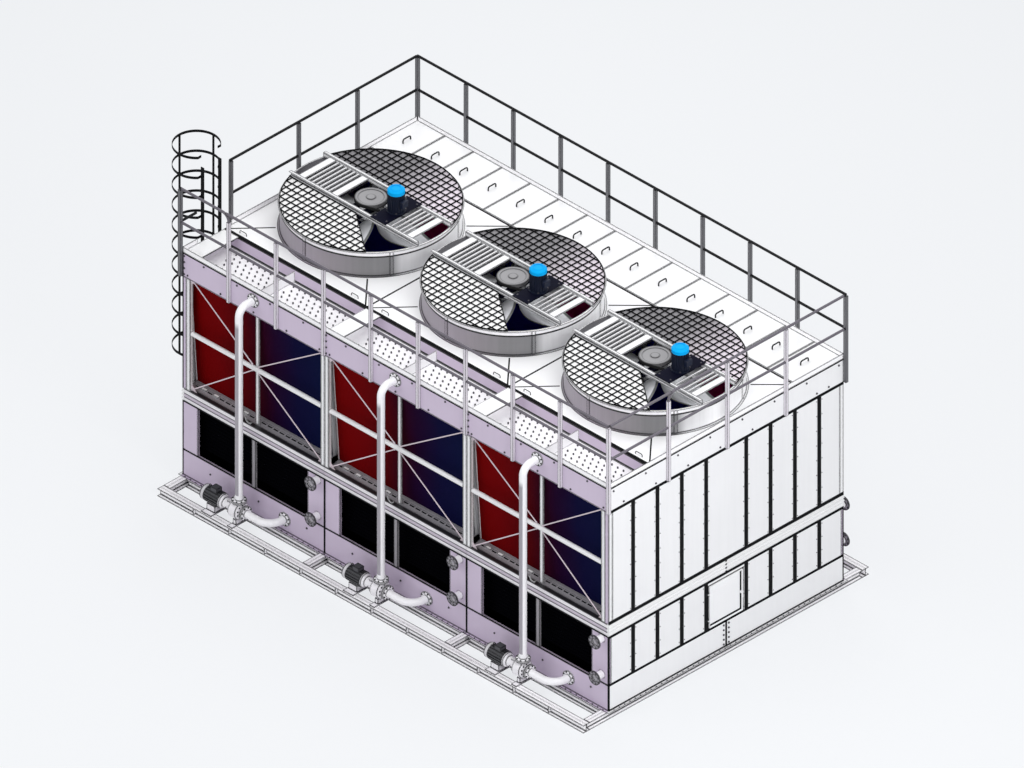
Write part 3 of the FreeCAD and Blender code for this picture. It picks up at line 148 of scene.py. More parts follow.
def joined(name, objects):
    unpick()
    for obj in objects:
        obj.select_set(True)
    bpy.context.view_layer.objects.active = objects[0]
    if len(objects) > 1:
        bpy.ops.object.join()
    obj = bpy.context.object
    obj.name = name
    return obj


def spread(name, source, places):
    # copies the modelled source once to each place (a point or a 4x4 matrix), all in one mesh
    points = [v.co.copy() for v in source.data.vertices]
    faces = [tuple(p.vertices) for p in source.data.polygons]
    smooth = [p.use_smooth for p in source.data.polygons]
    allPoints = []
    allFaces = []
    allSmooth = []
    for place in places:
        matrix = place if isinstance(place, Matrix) else Matrix.Translation(Vector(place))
        start = len(allPoints)
        allPoints += [matrix @ p for p in points]
        allFaces += [tuple(start + i for i in face) for face in faces]
        allSmooth += smooth
    mesh = bpy.data.meshes.new(name)
    mesh.from_pydata(allPoints, [], allFaces)
    mesh.polygons.foreach_set("use_smooth", allSmooth)
    mesh.update()
    obj = bpy.data.objects.new(name, mesh)
    bpy.context.scene.collection.objects.link(obj)
    bpy.data.objects.remove(source, do_unlink=True)
    return obj


def facing(point, axis, roll=0.0):
    # a matrix that sets a piece modelled along +Z at point, looking along axis
    turn = Vector((0, 0, 1)).rotation_difference(Vector(axis)).to_matrix().to_4x4()
    return Matrix.Translation(Vector(point)) @ turn @ Matrix.Rotation(roll, 4, "Z")


def dress(obj, finishName, body="tower"):
    obj.data.materials.clear()
    obj.data.materials.append(finishes[finishName])
    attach(obj, body)


def tube(name, points, radius, sides=8, closed=False):
    # a round bar along a path of points, drawn as a curve and turned into a mesh
    curve = bpy.data.curves.new(name, "CURVE")
    curve.dimensions = "3D"
    curve.bevel_depth = radius
    curve.bevel_resolution = max(0, sides // 4 - 1)
    curve.use_fill_caps = not closed
    spline = curve.splines.new("POLY")
    spline.points.add(len(points) - 1)
    for spot, point in zip(spline.points, points):
        spot.co = (*point, 1)
    spline.use_cyclic_u = closed
    obj = bpy.data.objects.new(name, curve)
    bpy.context.scene.collection.objects.link(obj)
    pick(obj)
    bpy.ops.object.convert(target="MESH")
    bpy.ops.object.shade_smooth_by_angle(angle=math.radians(50))
    return bpy.context.object


# shader groups shared by the finishes

def newGroup(name, inputs, outputs):
    group = bpy.data.node_groups.new(name, "ShaderNodeTree")
    for label, kind, value in inputs:
        socket = group.interface.new_socket(name=label, in_out="INPUT", socket_type=kind)
        if value is not None:
            socket.default_value = value
    for label, kind in outputs:
        group.interface.new_socket(name=label, in_out="OUTPUT", socket_type=kind)
    tree = group.nodes
    start = tree.new("NodeGroupInput")
    end = tree.new("NodeGroupOutput")
    return group, tree, group.links.new, start, end


def linked(tree, start, end):
    tree.id_data.links.new(start, end)


def mathNode(tree, work, a, b=None, clamp=False):
    node = tree.new("ShaderNodeMath")
    node.operation = work
    node.use_clamp = clamp
    for index, value in enumerate((a, b)):
        if value is None:
            continue
        if isinstance(value, (int, float)):
            node.inputs[index].default_value = value
        else:
            linked(tree, value, node.inputs[index])
    return node.outputs[0]


def mixColour(tree, mask, low, high, blend="MIX"):
    node = tree.new("ShaderNodeMix")
    node.data_type = "RGBA"
    node.blend_type = blend
    for socket, value in ((node.inputs[0], mask), (node.inputs[6], low), (node.inputs[7], high)):
        if isinstance(value, (int, float, tuple)):
            socket.default_value = value
        else:
            linked(tree, value, socket)
    return node.outputs[2]


def noiseNode(tree, vector, scale, detail=3.0):
    node = tree.new("ShaderNodeTexNoise")
    linked(tree, vector, node.inputs["Vector"])
    if isinstance(scale, (int, float)):
        node.inputs["Scale"].default_value = scale
    else:
        linked(tree, scale, node.inputs["Scale"])
    node.inputs["Detail"].default_value = detail
    return node.outputs["Fac"]


paintGrain = {
    "stretch": (16.0, 16.0, 0.7), "streakDetail": 4.0, "roughShare": 2.0,
    "peelScale": 420.0, "peelDetail": 1.0, "peelDeep": 0.001,
}


def paintGrainGroup():
    # cloudy tone, faint rain streaks and the fine texture of sprayed paint
    group, tree, link, start, end = newGroup("paintGrain", [
        ("Colour", "NodeSocketColor", None), ("Tone", "NodeSocketFloat", 0.06),
        ("Streaks", "NodeSocketFloat", 0.05), ("Patch Scale", "NodeSocketFloat", 2.2),
        ("Rough", "NodeSocketFloat", 0.45), ("Peel", "NodeSocketFloat", 0.04),
    ], [("Colour", "NodeSocketColor"), ("Roughness", "NodeSocketFloat"), ("Normal", "NodeSocketVector")])
    place = tree.new("ShaderNodeTexCoord").outputs["Object"]
    patches = noiseNode(tree, place, start.outputs["Patch Scale"])
    stretch = tree.new("ShaderNodeMapping")
    stretch.inputs["Scale"].default_value = paintGrain["stretch"]
    link(place, stretch.inputs["Vector"])
    streaks = noiseNode(tree, stretch.outputs[0], 1.0, paintGrain["streakDetail"])
    tone = mathNode(tree, "SUBTRACT", patches, 0.5)
    tone = mathNode(tree, "MULTIPLY", tone, start.outputs["Tone"])
    run = mathNode(tree, "SUBTRACT", streaks, 0.5)
    run = mathNode(tree, "MULTIPLY", run, start.outputs["Streaks"])
    shade = mathNode(tree, "ADD", mathNode(tree, "ADD", tone, run), 1.0)
    shadeColour = tree.new("ShaderNodeCombineColor")
    for socket in shadeColour.inputs[:3]:
        link(shade, socket)
    colour = mixColour(tree, 1.0, start.outputs["Colour"], shadeColour.outputs[0], "MULTIPLY")
    link(colour, end.inputs["Colour"])
    rough = mathNode(tree, "MULTIPLY", tone, paintGrain["roughShare"])
    link(mathNode(tree, "ADD", rough, start.outputs["Rough"], True), end.inputs["Roughness"])
    peel = noiseNode(tree, place, paintGrain["peelScale"], paintGrain["peelDetail"])
    bump = tree.new("ShaderNodeBump")
    bump.inputs["Distance"].default_value = paintGrain["peelDeep"]
    link(start.outputs["Peel"], bump.inputs["Strength"])
    link(peel, bump.inputs["Height"])
    link(bump.outputs[0], end.inputs["Normal"])
    return group


def edgeLineGroup(name, radius):
    # darkens the last few millimetres beside every sharp edge into a dark outline
    group, tree, link, start, end = newGroup(name, [
        ("Colour", "NodeSocketColor", None), ("Amount", "NodeSocketFloat", 0.85),
    ], [("Colour", "NodeSocketColor"), ("Mask", "NodeSocketFloat")])
    bevel = tree.new("ShaderNodeBevel")
    bevel.samples = edgeLine["samples"]
    bevel.inputs["Radius"].default_value = radius
    plain = tree.new("ShaderNodeNewGeometry")
    dot = tree.new("ShaderNodeVectorMath")
    dot.operation = "DOT_PRODUCT"
    link(bevel.outputs[0], dot.inputs[0])
    link(plain.outputs["Normal"], dot.inputs[1])
    away = mathNode(tree, "SUBTRACT", 1.0, dot.outputs["Value"])
    ramp = tree.new("ShaderNodeMapRange")
    ramp.inputs["From Min"].default_value = edgeLine["from"]
    ramp.inputs["From Max"].default_value = edgeLine["to"]
    link(away, ramp.inputs["Value"])
    mask = mathNode(tree, "MULTIPLY", ramp.outputs[0], start.outputs["Amount"], True)
    dark = (edgeLine["dark"], edgeLine["dark"], edgeLine["dark"] * edgeLine["blue"], 1)
    link(mixColour(tree, mask, start.outputs["Colour"], dark), end.inputs["Colour"])
    link(mask, end.inputs["Mask"])
    return group


edgeLine = {
    "radius": 0.028, "fine": 0.013, "samples": 8, "from": 0.004, "to": 0.02, "dark": 0.006, "blue": 1.3,
}
grainGroup = paintGrainGroup()
lineGroup = edgeLineGroup("edgeLine", edgeLine["radius"])
fineLineGroup = edgeLineGroup("edgeLineFine", edgeLine["fine"])
print("shader groups built")


# finishes

def srgb(r, g, b):
    out = []
    for value in (r, g, b):
        v = value / 255
        out.append(v / 12.92 if v <= 0.04045 else ((v + 0.055) / 1.055) ** 2.4)
    return tuple(out)


def toned(tint):
    # a colour picked as 0 to 255, ready for a socket
    return (*srgb(*tint), 1)


def finish(name, colour=None, rough=0.45, metal=0.0, tone=0.06, streaks=0.05, patch=2.2, peel=0.04,
           line=0.85, fine=False, specular=0.5, source=None):
    mat = bpy.data.materials.new(name)
    mat.use_nodes = True
    tree = mat.node_tree.nodes
    link = mat.node_tree.links.new
    shader = tree["Principled BSDF"]
    grain = tree.new("ShaderNodeGroup")
    grain.node_tree = grainGroup
    if source is None:
        grain.inputs["Colour"].default_value = toned(colour)
    else:
        link(source(tree), grain.inputs["Colour"])
    settings = {"Tone": tone, "Streaks": streaks, "Patch Scale": patch, "Rough": rough, "Peel": peel}
    for label, value in settings.items():
        grain.inputs[label].default_value = value
    colourOut = grain.outputs["Colour"]
    if line:
        edge = tree.new("ShaderNodeGroup")
        edge.node_tree = fineLineGroup if fine else lineGroup
        edge.inputs["Amount"].default_value = line
        link(colourOut, edge.inputs["Colour"])
        colourOut = edge.outputs["Colour"]
    link(colourOut, shader.inputs["Base Color"])
    link(grain.outputs["Roughness"], shader.inputs["Roughness"])
    link(grain.outputs["Normal"], shader.inputs["Normal"])
    shader.inputs["Metallic"].default_value = metal
    shader.inputs["Specular IOR Level"].default_value = specular
    return mat


def objectParts(tree):
    place = tree.new("ShaderNodeTexCoord").outputs["Object"]
    split = tree.new("ShaderNodeSeparateXYZ")
    linked(tree, place, split.inputs[0])
    return split.outputs


def cellShare(tree, x):
    # nought to one along each cell, from its left end
    along = mathNode(tree, "ADD", x, -tower["left"])
    along = mathNode(tree, "DIVIDE", along, tower["cellLong"])
    return mathNode(tree, "FRACT", along)


def cellWay(tree, x):
    # metres along each cell
    return mathNode(tree, "MULTIPLY", cellShare(tree, x), tower["cellLong"])


def sized(tree, value):
    return mathNode(tree, "ABSOLUTE", value)


def lengthOf(tree, a, b):
    squares = [mathNode(tree, "MULTIPLY", side, side) for side in (a, b)]
    return mathNode(tree, "SQRT", mathNode(tree, "ADD", *squares))


def rampNode(tree, value, stops):
    ramp = tree.new("ShaderNodeValToRGB")
    spots = ramp.color_ramp.elements
    for spot, (position, tint) in ((spots[0], stops[0]), (spots[1], stops[-1])):
        spot.position = position
        spot.color = toned(tint)
    for position, tint in stops[1:-1]:
        spots.new(position).color = toned(tint)
    linked(tree, value, ramp.inputs[0])
    return ramp.outputs[0]


fillTint = {
    "stops": [(0.03, (112, 0, 2)), (0.2, (104, 0, 4)), (0.36, (78, 0, 6)), (0.47, (50, 0, 20)),
              (0.58, (30, 2, 38)), (0.74, (12, 10, 50)), (1.0, (8, 18, 56))],
    "inside": [(0.0, (40, 38, 180)), (0.33, (40, 38, 180)), (0.39, (255, 36, 140)), (0.60, (255, 36, 140)),
               (0.66, (30, 28, 120)), (1.0, (40, 38, 180))],
    "insideDepth": 1.3, "wanderScale": 0.9, "wander": 0.16,
}


def fillColour(tree):
    # each bay runs from deep red at its left to navy at its right, and is mostly navy seen down the fans
    x, y, z = objectParts(tree)
    place = tree.new("ShaderNodeTexCoord").outputs["Object"]
    wander = mathNode(tree, "SUBTRACT", noiseNode(tree, place, fillTint["wanderScale"], 2.0), 0.5)
    wander = mathNode(tree, "MULTIPLY", wander, fillTint["wander"])
    along = mathNode(tree, "ADD", cellShare(tree, x), wander)
    outer = rampNode(tree, along, fillTint["stops"])
    inner = rampNode(tree, along, fillTint["inside"])
    inside = mathNode(tree, "LESS_THAN", sized(tree, y), fillTint["insideDepth"])
    return mixColour(tree, inside, outer, inner)


railTint = {
    "light": (108, 104, 112), "post": (214, 209, 217), "dark": (14, 14, 16), "grey": (96, 96, 100),
    "backFrom": 2.29, "leftTo": -4.19, "leftFrom": -2.50,
}


def railMask(tree):
    # one on the back and left runs, nought on the front and right runs
    x, y, z = objectParts(tree)
    atBack = mathNode(tree, "GREATER_THAN", y, railTint["backFrom"])
    atLeft = mathNode(tree, "MULTIPLY", mathNode(tree, "LESS_THAN", x, railTint["leftTo"]),
                      mathNode(tree, "GREATER_THAN", y, railTint["leftFrom"]))
    return mathNode(tree, "MAXIMUM", atBack, atLeft)


def railColour(tree):
    return mixColour(tree, railMask(tree), toned(railTint["light"]), toned(railTint["dark"]))


def postColour(tree):
    return mixColour(tree, railMask(tree), toned(railTint["post"]), toned(railTint["grey"]))


troughTint = {
    # the riser's lilac is painted shade
    "floor": (252, 251, 253), "riser": (208, 194, 214), "line": (10, 9, 12),
    "floorTop": 3.643, "footLine": 3.672, "lineLow": 3.830,
}


def troughShadeColour(tree):
    # white floor, a lilac riser whose tint is painted shade, and black gasket lines at its foot and under the
    # deck edge
    x, y, z = objectParts(tree)
    up = mathNode(tree, "GREATER_THAN", z, troughTint["floorTop"])
    high = mathNode(tree, "GREATER_THAN", z, troughTint["lineLow"])
    foot = mathNode(tree, "MULTIPLY", up, mathNode(tree, "LESS_THAN", z, troughTint["footLine"]))
    high = mathNode(tree, "MAXIMUM", high, foot)
    low = mixColour(tree, up, toned(troughTint["floor"]), toned(troughTint["riser"]))
    return mixColour(tree, high, low, toned(troughTint["line"]))


# the lilac stands in for shade on the long sides, the pale for the lit end walls
casing = {"lilac": (204, 190, 211), "pale": (238, 238, 240), "endFrom": 4.1965, "bandEndFrom": 4.17}


def casingShadeColour(tree):
    # painted shade: lilac on the long sides as their shaded tint, pale on the end walls as their lit tint
    x, y, z = objectParts(tree)
    side = mathNode(tree, "GREATER_THAN", sized(tree, x), casing["endFrom"])
    return mixColour(tree, side, toned(casing["lilac"]), toned(casing["pale"]))


bandTint = {
    "end": (252, 252, 253),
    # the grey strips and the lilac middle are painted shade on the rib's faces
    "long": [(0.0, (24, 22, 26)), (0.06, (24, 22, 26)), (0.09, (246, 244, 248)), (0.29, (246, 244, 248)),
             (0.31, (96, 90, 100)), (0.36, (96, 90, 100)), (0.38, (208, 198, 212)), (0.58, (208, 198, 212)),
             (0.60, (96, 90, 100)), (0.65, (96, 90, 100)), (0.67, (246, 244, 248)), (0.90, (246, 244, 248)),
             (0.93, (24, 22, 26)), (1.0, (24, 22, 26))],
}


def bandShadeColour(tree):
    # the ribs on the long sides carry painted shade: dark lines at top and foot, grey strips either side of a
    # lilac middle, white flanges; the ends are plain white
    x, y, z = objectParts(tree)
    share = mathNode(tree, "ADD", z, -tower["bandLow"])
    share = mathNode(tree, "DIVIDE", share, tower["bandTop"] - tower["bandLow"])
    long = rampNode(tree, share, bandTint["long"])
    side = mathNode(tree, "GREATER_THAN", sized(tree, x), casing["bandEndFrom"])
    return mixColour(tree, side, long, toned(bandTint["end"]))


def fanPlace(tree):
    # place on the deck counted from the middle of each fan
    x, y, z = objectParts(tree)
    along = mathNode(tree, "SUBTRACT", cellShare(tree, x), 0.5)
    return mathNode(tree, "MULTIPLY", along, tower["cellLong"]), y


stackTint = {
    # the outer ramp is painted shade: darker on the left and front, white towards the right
    "outer": [(0.0, (140, 138, 142)), (0.125, (156, 150, 158)), (0.245, (166, 158, 168)),
              (0.30, (146, 140, 146)), (0.36, (124, 123, 125)), (0.41, (122, 122, 124)),
              (0.43, (210, 210, 212)), (0.50, (252, 252, 253)), (0.75, (244, 244, 246)),
              (1.0, (140, 138, 142))],
    "inner": (168, 166, 170), "rim": (250, 249, 251), "line": (12, 12, 14),
    "rimLow": 4.205, "lineLow": 4.178, "innerRadius": 1.2695,
}


def stackShadeColour(tree):
    # rolled sheet with painted shade around it: mid grey on the left and front, darker before a seam at the
    # front right, white facing the right; plain light grey inside as painted shade, white rim
    x, y = fanPlace(tree)
    z = objectParts(tree)[2]
    turn = mathNode(tree, "ARCTAN2", y, x)
    share = mathNode(tree, "ADD", mathNode(tree, "DIVIDE", turn, 2 * math.pi), 0.5)
    outer = rampNode(tree, share, stackTint["outer"])
    line = mathNode(tree, "GREATER_THAN", z, stackTint["lineLow"])
    rim = mathNode(tree, "GREATER_THAN", z, stackTint["rimLow"])
    outer = mixColour(tree, line, outer, toned(stackTint["line"]))
    outer = mixColour(tree, rim, outer, toned(stackTint["rim"]))
    inside = mathNode(tree, "LESS_THAN", lengthOf(tree, x, y), stackTint["innerRadius"])
    return mixColour(tree, inside, outer, toned(stackTint["inner"]))


screenTint = {
    # the far grey and the walkway dark are painted shade
    "front": (250, 250, 250), "far": (128, 126, 130), "right": (232, 222, 232), "walkShade": (34, 31, 40),
    "run": 0.9, "shift": 0.25, "walkHalf": 0.33,
}


def screenColourAndShade(tree):
    # the bird screen is bright at the front, grey with painted shade at the far left, faintly lilac at the
    # right, and dark with painted shade under the walkway so the gaps between its slats read dark
    x, y = fanPlace(tree)
    share = mathNode(tree, "DIVIDE", x, screenTint["run"])
    share = mathNode(tree, "ADD", share, screenTint["shift"], True)
    back = mixColour(tree, share, toned(screenTint["far"]), toned(screenTint["right"]))
    behind = mathNode(tree, "GREATER_THAN", y, 0.0)
    colour = mixColour(tree, behind, toned(screenTint["front"]), back)
    walkShade = mathNode(tree, "LESS_THAN", sized(tree, y), screenTint["walkHalf"])
    return mixColour(tree, walkShade, colour, toned(screenTint["walkShade"]))


pipeTint = {
    # shade is the painted shade on the risers' left half
    "shade": (158, 154, 162), "light": (248, 247, 250), "centre": 1.404, "fromFront": 0.293, "seam": -0.008,
    "low": 0.60, "high": 3.50, "fade": 0.10,
}


def pipeShadeColour(tree):
    # painted shade: the risers are light grey on their left half, up to the bend
    x, y, z = objectParts(tree)
    side = mathNode(tree, "SUBTRACT", cellWay(tree, x), pipeTint["centre"])
    out = mathNode(tree, "ADD", y, pipeTint["fromFront"] - tower["front"])
    left = mathNode(tree, "LESS_THAN", mathNode(tree, "ADD", side, out), pipeTint["seam"])
    fade = mathNode(tree, "SUBTRACT", pipeTint["high"], z)
    fade = mathNode(tree, "DIVIDE", fade, pipeTint["fade"], True)
    mask = mathNode(tree, "MULTIPLY", left, mathNode(tree, "GREATER_THAN", z, pipeTint["low"]))
    mask = mathNode(tree, "MULTIPLY", mask, fade)
    return mixColour(tree, mask, toned(pipeTint["light"]), toned(pipeTint["shade"]))


headerTint = {
    # the grey flange faces are painted shade
    "pipe": (244, 242, 246), "flange": (128, 124, 132), "from": 2.4465, "x": 2.663, "z": (0.701, 1.304),
    "hub": 0.060,
}


def headerShadeColour(tree):
    # painted shade: grey flange faces, with a light hub
    x, y, z = objectParts(tree)
    flange = mathNode(tree, "GREATER_THAN", sized(tree, y), headerTint["from"])
    aside = mathNode(tree, "SUBTRACT", cellWay(tree, x), headerTint["x"])
    low, high = [sized(tree, mathNode(tree, "SUBTRACT", z, height)) for height in headerTint["z"]]
    away = lengthOf(tree, aside, mathNode(tree, "MINIMUM", low, high))
    flange = mathNode(tree, "MULTIPLY", flange, mathNode(tree, "GREATER_THAN", away, headerTint["hub"]))
    return mixColour(tree, flange, toned(headerTint["pipe"]), toned(headerTint["flange"]))


shellTint = {"cowl": (206, 204, 208), "body": (70, 70, 75), "cowlTo": 0.800}


def motorShell(tree):
    # light fan cowl at the far end, dark finned body
    x, y, z = objectParts(tree)
    body = mathNode(tree, "GREATER_THAN", cellWay(tree, x), shellTint["cowlTo"])
    return mixColour(tree, body, toned(shellTint["cowl"]), toned(shellTint["body"]))


finishTable = {
    # the lilac panels and the casing carry painted shade on their long sides
    "lilacShadePaint": dict(colour=casing["lilac"], rough=0.5, tone=0.08, streaks=0.07),
    "casingPaintAndShade": dict(source=casingShadeColour, rough=0.5, tone=0.05),
    "palePaint": dict(colour=casing["pale"], tone=0.04, streaks=0.03),
    "bandPaintAndShade": dict(source=bandShadeColour, tone=0.04, streaks=0.03, line=0.25),
    "deckPlate": dict(colour=(243, 243, 244), rough=0.5, tone=0.04, streaks=0.0),
    "endPanel": dict(colour=(236, 236, 238), rough=0.48, streaks=0.06, patch=1.3),
    "greySteel": dict(colour=(158, 155, 160), rough=0.5, metal=0.2, tone=0.12, patch=9.0),
    "frameSteel": dict(colour=(252, 251, 253), rough=0.55, tone=0.05, streaks=0.0, patch=5.0, line=1.0),
    "fillSheet": dict(source=fillColour, rough=0.85, tone=0.05, streaks=0.03, line=0.0, specular=0.04),
    # near-black coils stand in for painted shade inside the coil openings
    "coilShadeBlack": dict(colour=(2, 2, 5), rough=0.95, tone=0.2, streaks=0.1, line=0.0, specular=0.02),
    "basinShade": dict(colour=(7, 7, 11), rough=0.9, tone=0.2, line=0.0, specular=0.03),
    "innerNavy": dict(colour=(26, 26, 120), rough=0.8, tone=0.15, line=0.0, specular=0.05),
    "fanMetal": dict(colour=(222, 223, 226), rough=0.35, metal=0.3),
    "sheaveIron": dict(colour=(138, 137, 139), rough=0.5, metal=0.1, tone=0.16, patch=9.0, line=0.5),
    "blackWire": dict(colour=(10, 10, 12), rough=0.6, tone=0.1, line=0.0, specular=0.1),
    "motorNavy": dict(colour=(5, 16, 40), rough=0.5, tone=0.1, line=0.3, specular=0.3),
    "bridgeNavy": dict(colour=(6, 7, 26), rough=0.7, tone=0.1, line=0.5, specular=0.06),
    "motorBlue": dict(colour=(0, 166, 236), rough=0.6, line=0.0, specular=0.1),
    "beltRubber": dict(colour=(16, 16, 17), rough=0.75, tone=0.15, line=0.0, specular=0.3),
    "pumpIron": dict(colour=(240, 238, 242), rough=0.5, tone=0.1, patch=18.0, peel=0.15, line=1.0),
    "pumpBlack": dict(colour=(16, 16, 18), rough=0.6, tone=0.15, patch=12.0, line=0.0, specular=0.2),
    "pumpMotor": dict(source=motorShell, rough=0.5, tone=0.12, patch=12.0, line=0.9),
    "pipePaintAndShade": dict(source=pipeShadeColour, rough=0.42),
    "headerPaintAndShade": dict(source=headerShadeColour, tone=0.08, line=1.0),
    "doorPaint": dict(colour=(240, 240, 242), rough=0.48, tone=0.05, streaks=0.04, line=0.0),
    "boltZinc": dict(colour=(60, 57, 64), rough=0.5, metal=0.1, tone=0.2, patch=30.0, line=0.0),
    "nozzleRubber": dict(colour=(96, 94, 100), rough=0.6, tone=0.2, line=0.6),
    "jointDark": dict(colour=(18, 18, 20), rough=0.85, tone=0.2, line=0.0, specular=0.1),
    "troughPaintAndShade": dict(source=troughShadeColour, rough=0.5, tone=0.05),
    "birdScreen": dict(source=screenColourAndShade, rough=0.5, tone=0.05, line=0.0),
    "railPaint": dict(source=railColour, rough=0.5, tone=0.05, line=0.6, specular=0.15),
    "postPaint": dict(source=postColour, rough=0.4, tone=0.05, line=1.0, fine=True),
    "braceSteel": dict(colour=(216, 202, 210), rough=0.5, tone=0.08, line=0.0),
    "stackSheetAndShade": dict(source=stackShadeColour, rough=0.5, streaks=0.22),
}
finishes = {name: finish(name, **settings) for name, settings in finishTable.items()}
print("finishes built:", len(finishes))

dressed = {
    "frameSteel": "base_long_beams base_cross_beams toe_boards",
    "basinShade": "basin_floor",
    "casingPaintAndShade": "basin_walls corner_posts fascias",
    "lilacShadePaint": "lower_panels",
    "greySteel": "coil_mullions fill_sills",
    "bandPaintAndShade": "mid_bands",
    "palePaint": "bay_posts bay_girts bay_mid_posts fill_side_plates drive_beams drive_slats",
    "braceSteel": "bay_braces",
    "fillSheet": "fill_packs",
    "coilShadeBlack": "coil_bundles coil_end_plates",
    "headerPaintAndShade": "coil_headers",
    "innerNavy": "inner_posts inner_beams",
    "troughPaintAndShade": "water_troughs",
    "deckPlate": "trough_plates fan_deck back_covers",
    "blackWire": "cover_handles fan_guards ladder ladder_brackets cage_hoops cage_straps",
    "stackSheetAndShade": "fan_stacks",
    "fanMetal": "fan_rotor_1 fan_rotor_2 fan_rotor_3",
    "sheaveIron": "fan_sheave_1 fan_sheave_2 fan_sheave_3",
    "bridgeNavy": "drive_supports bearing_housings",
    "motorNavy": "fan_motors",
    "motorBlue": "motor_caps",
    "beltRubber": "drive_belts",
    "postPaint": "rail_posts",
    "railPaint": "side_rails end_rails",
    "pumpIron": "pump_casings pump_stands",
    "pumpMotor": "pump_motors",
    "pipePaintAndShade": "spray_pipes",
    "endPanel": "upper_end_panels lower_end_panels door_frame",
    "doorPaint": "access_door",
    "pumpBlack": "door_hinges",
}
nodeFinish = {node: name for name, listed in dressed.items() for node in listed.split()}
for nodeName, node in nodes.items():
    node.data.materials.clear()
    node.data.materials.append(finishes[nodeFinish[nodeName]])
print("CAD nodes dressed")


# camera, light and ground

view = {
    "unit": 0.01394, "across": 1024, "right": 329.4, "up": 90.4, "elevation": math.radians(33.9),
    "away": 24.0, "reach": 200,
}


def setCamera():
    lift = view["elevation"]
    half = math.sqrt(0.5)
    right = Vector((half, half, 0))
    up = Vector((-math.sin(lift) * half, math.sin(lift) * half, math.cos(lift)))
    towards = Vector((math.cos(lift) * half, -math.cos(lift) * half, math.sin(lift)))
    corner = Vector((tower["left"], tower["front"], tower["baseTop"]))
    target = corner + right * view["right"] * view["unit"] + up * view["up"] * view["unit"]
    data = bpy.data.cameras.new("pictureCamera")
    data.type = "ORTHO"
    data.ortho_scale = view["across"] * view["unit"]
    data.clip_end = view["reach"]
    obj = bpy.data.objects.new("pictureCamera", data)
    bpy.context.scene.collection.objects.link(obj)
    obj.location = target + towards * view["away"]
    obj.rotation_euler = towards.to_track_quat("Z", "Y").to_euler()
    bpy.context.scene.camera = obj


def lamp(name, spot, aim, size, power):
    data = bpy.data.lights.new(name, "AREA")
    data.size = size
    data.energy = power
    obj = bpy.data.objects.new(name, data)
    bpy.context.scene.collection.objects.link(obj)
    obj.location = spot
    obj.rotation_euler = (Vector(spot) - Vector(aim)).to_track_quat("Z", "Y").to_euler()


studio = {
    "sky": 0.54, "skyColour": (0.97, 0.98, 1.0), "ground": (245, 247, 250), "groundShadow": 0.22,
    "floorWide": 90, "floorColour": (0.86, 0.87, 0.88),
}
lamps = {
    "keyLamp": {"spot": (13, -4, 12), "aim": (0, 0, 2), "size": 8, "power": 1040},
    "fillLamp": {"spot": (-4, -14, 9), "aim": (0, 0, 2), "size": 10, "power": 360},
    "backLamp": {"spot": (-9, 9, 12), "aim": (0, 0, 2), "size": 9, "power": 420},
    "topLamp": {"spot": (-1, 0, 17), "aim": (-1, 0, 2), "size": 14, "power": 900},
}


def mixShaders(tree, share, first, second, out):
    mix = tree.new("ShaderNodeMixShader")
    for socket, value in zip(mix.inputs, (share, first.outputs[0], second.outputs[0])):
        linked(tree, value, socket)
    linked(tree, mix.outputs[0], out.inputs[0])


def setStage():
    world = bpy.data.worlds.new("studioSky")
    bpy.context.scene.world = world
    world.use_nodes = True
    tree = world.node_tree.nodes
    tree.clear()
    out = tree.new("ShaderNodeOutputWorld")
    light = tree.new("ShaderNodeBackground")
    light.inputs[0].default_value = (*studio["skyColour"], 1)
    light.inputs[1].default_value = studio["sky"]
    seen = tree.new("ShaderNodeBackground")
    seen.inputs[0].default_value = toned(studio["ground"])
    seen.inputs[1].default_value = 1.0
    rays = tree.new("ShaderNodeLightPath")
    some = mathNode(tree, "MAXIMUM", rays.outputs["Is Camera Ray"], rays.outputs["Is Glossy Ray"])
    some = mathNode(tree, "MAXIMUM", some, rays.outputs["Is Transmission Ray"])
    mixShaders(tree, some, light, seen, out)
    unpick()
    bpy.ops.mesh.primitive_plane_add(size=studio["floorWide"], location=(0, 0, 0))
    floor = bpy.context.object
    floor.name = "studioFloor"
    mat = bpy.data.materials.new("studioFloor")
    mat.use_nodes = True
    tree = mat.node_tree.nodes
    tree.clear()
    out = tree.new("ShaderNodeOutputMaterial")
    matt = tree.new("ShaderNodeBsdfDiffuse")
    matt.inputs[0].default_value = (*studio["floorColour"], 1)
    glow = tree.new("ShaderNodeEmission")
    glow.inputs[0].default_value = toned(studio["ground"])
    glow.inputs[1].default_value = 1.0
    rays = tree.new("ShaderNodeLightPath")
    share = mathNode(tree, "MULTIPLY", rays.outputs["Is Camera Ray"], 1 - studio["groundShadow"])
    mixShaders(tree, share, matt, glow, out)
    floor.data.materials.append(mat)
    for name, settings in lamps.items():
        lamp(name, **settings)


bpy.context.scene.view_settings.view_transform = "Standard"
setCamera()
setStage()
print("camera and light set")


# fan guards

guard = {
    "pitch": 0.108, "bar": 0.026, "reach": 1.286, "beamEdge": 0.371, "slantFrom": 0.08, "slantRun": 1.33,
    "slantTo": 0.95, "weld": 0.004,
}
screen = {
    "pitch": 0.036, "strand": 0.030, "thick": 0.002, "reach": 1.284, "walkFrom": -0.36, "walkHalf": 0.31,
    "lift": 0.0003, "gap": 0.002, "shortest": 0.03,
}


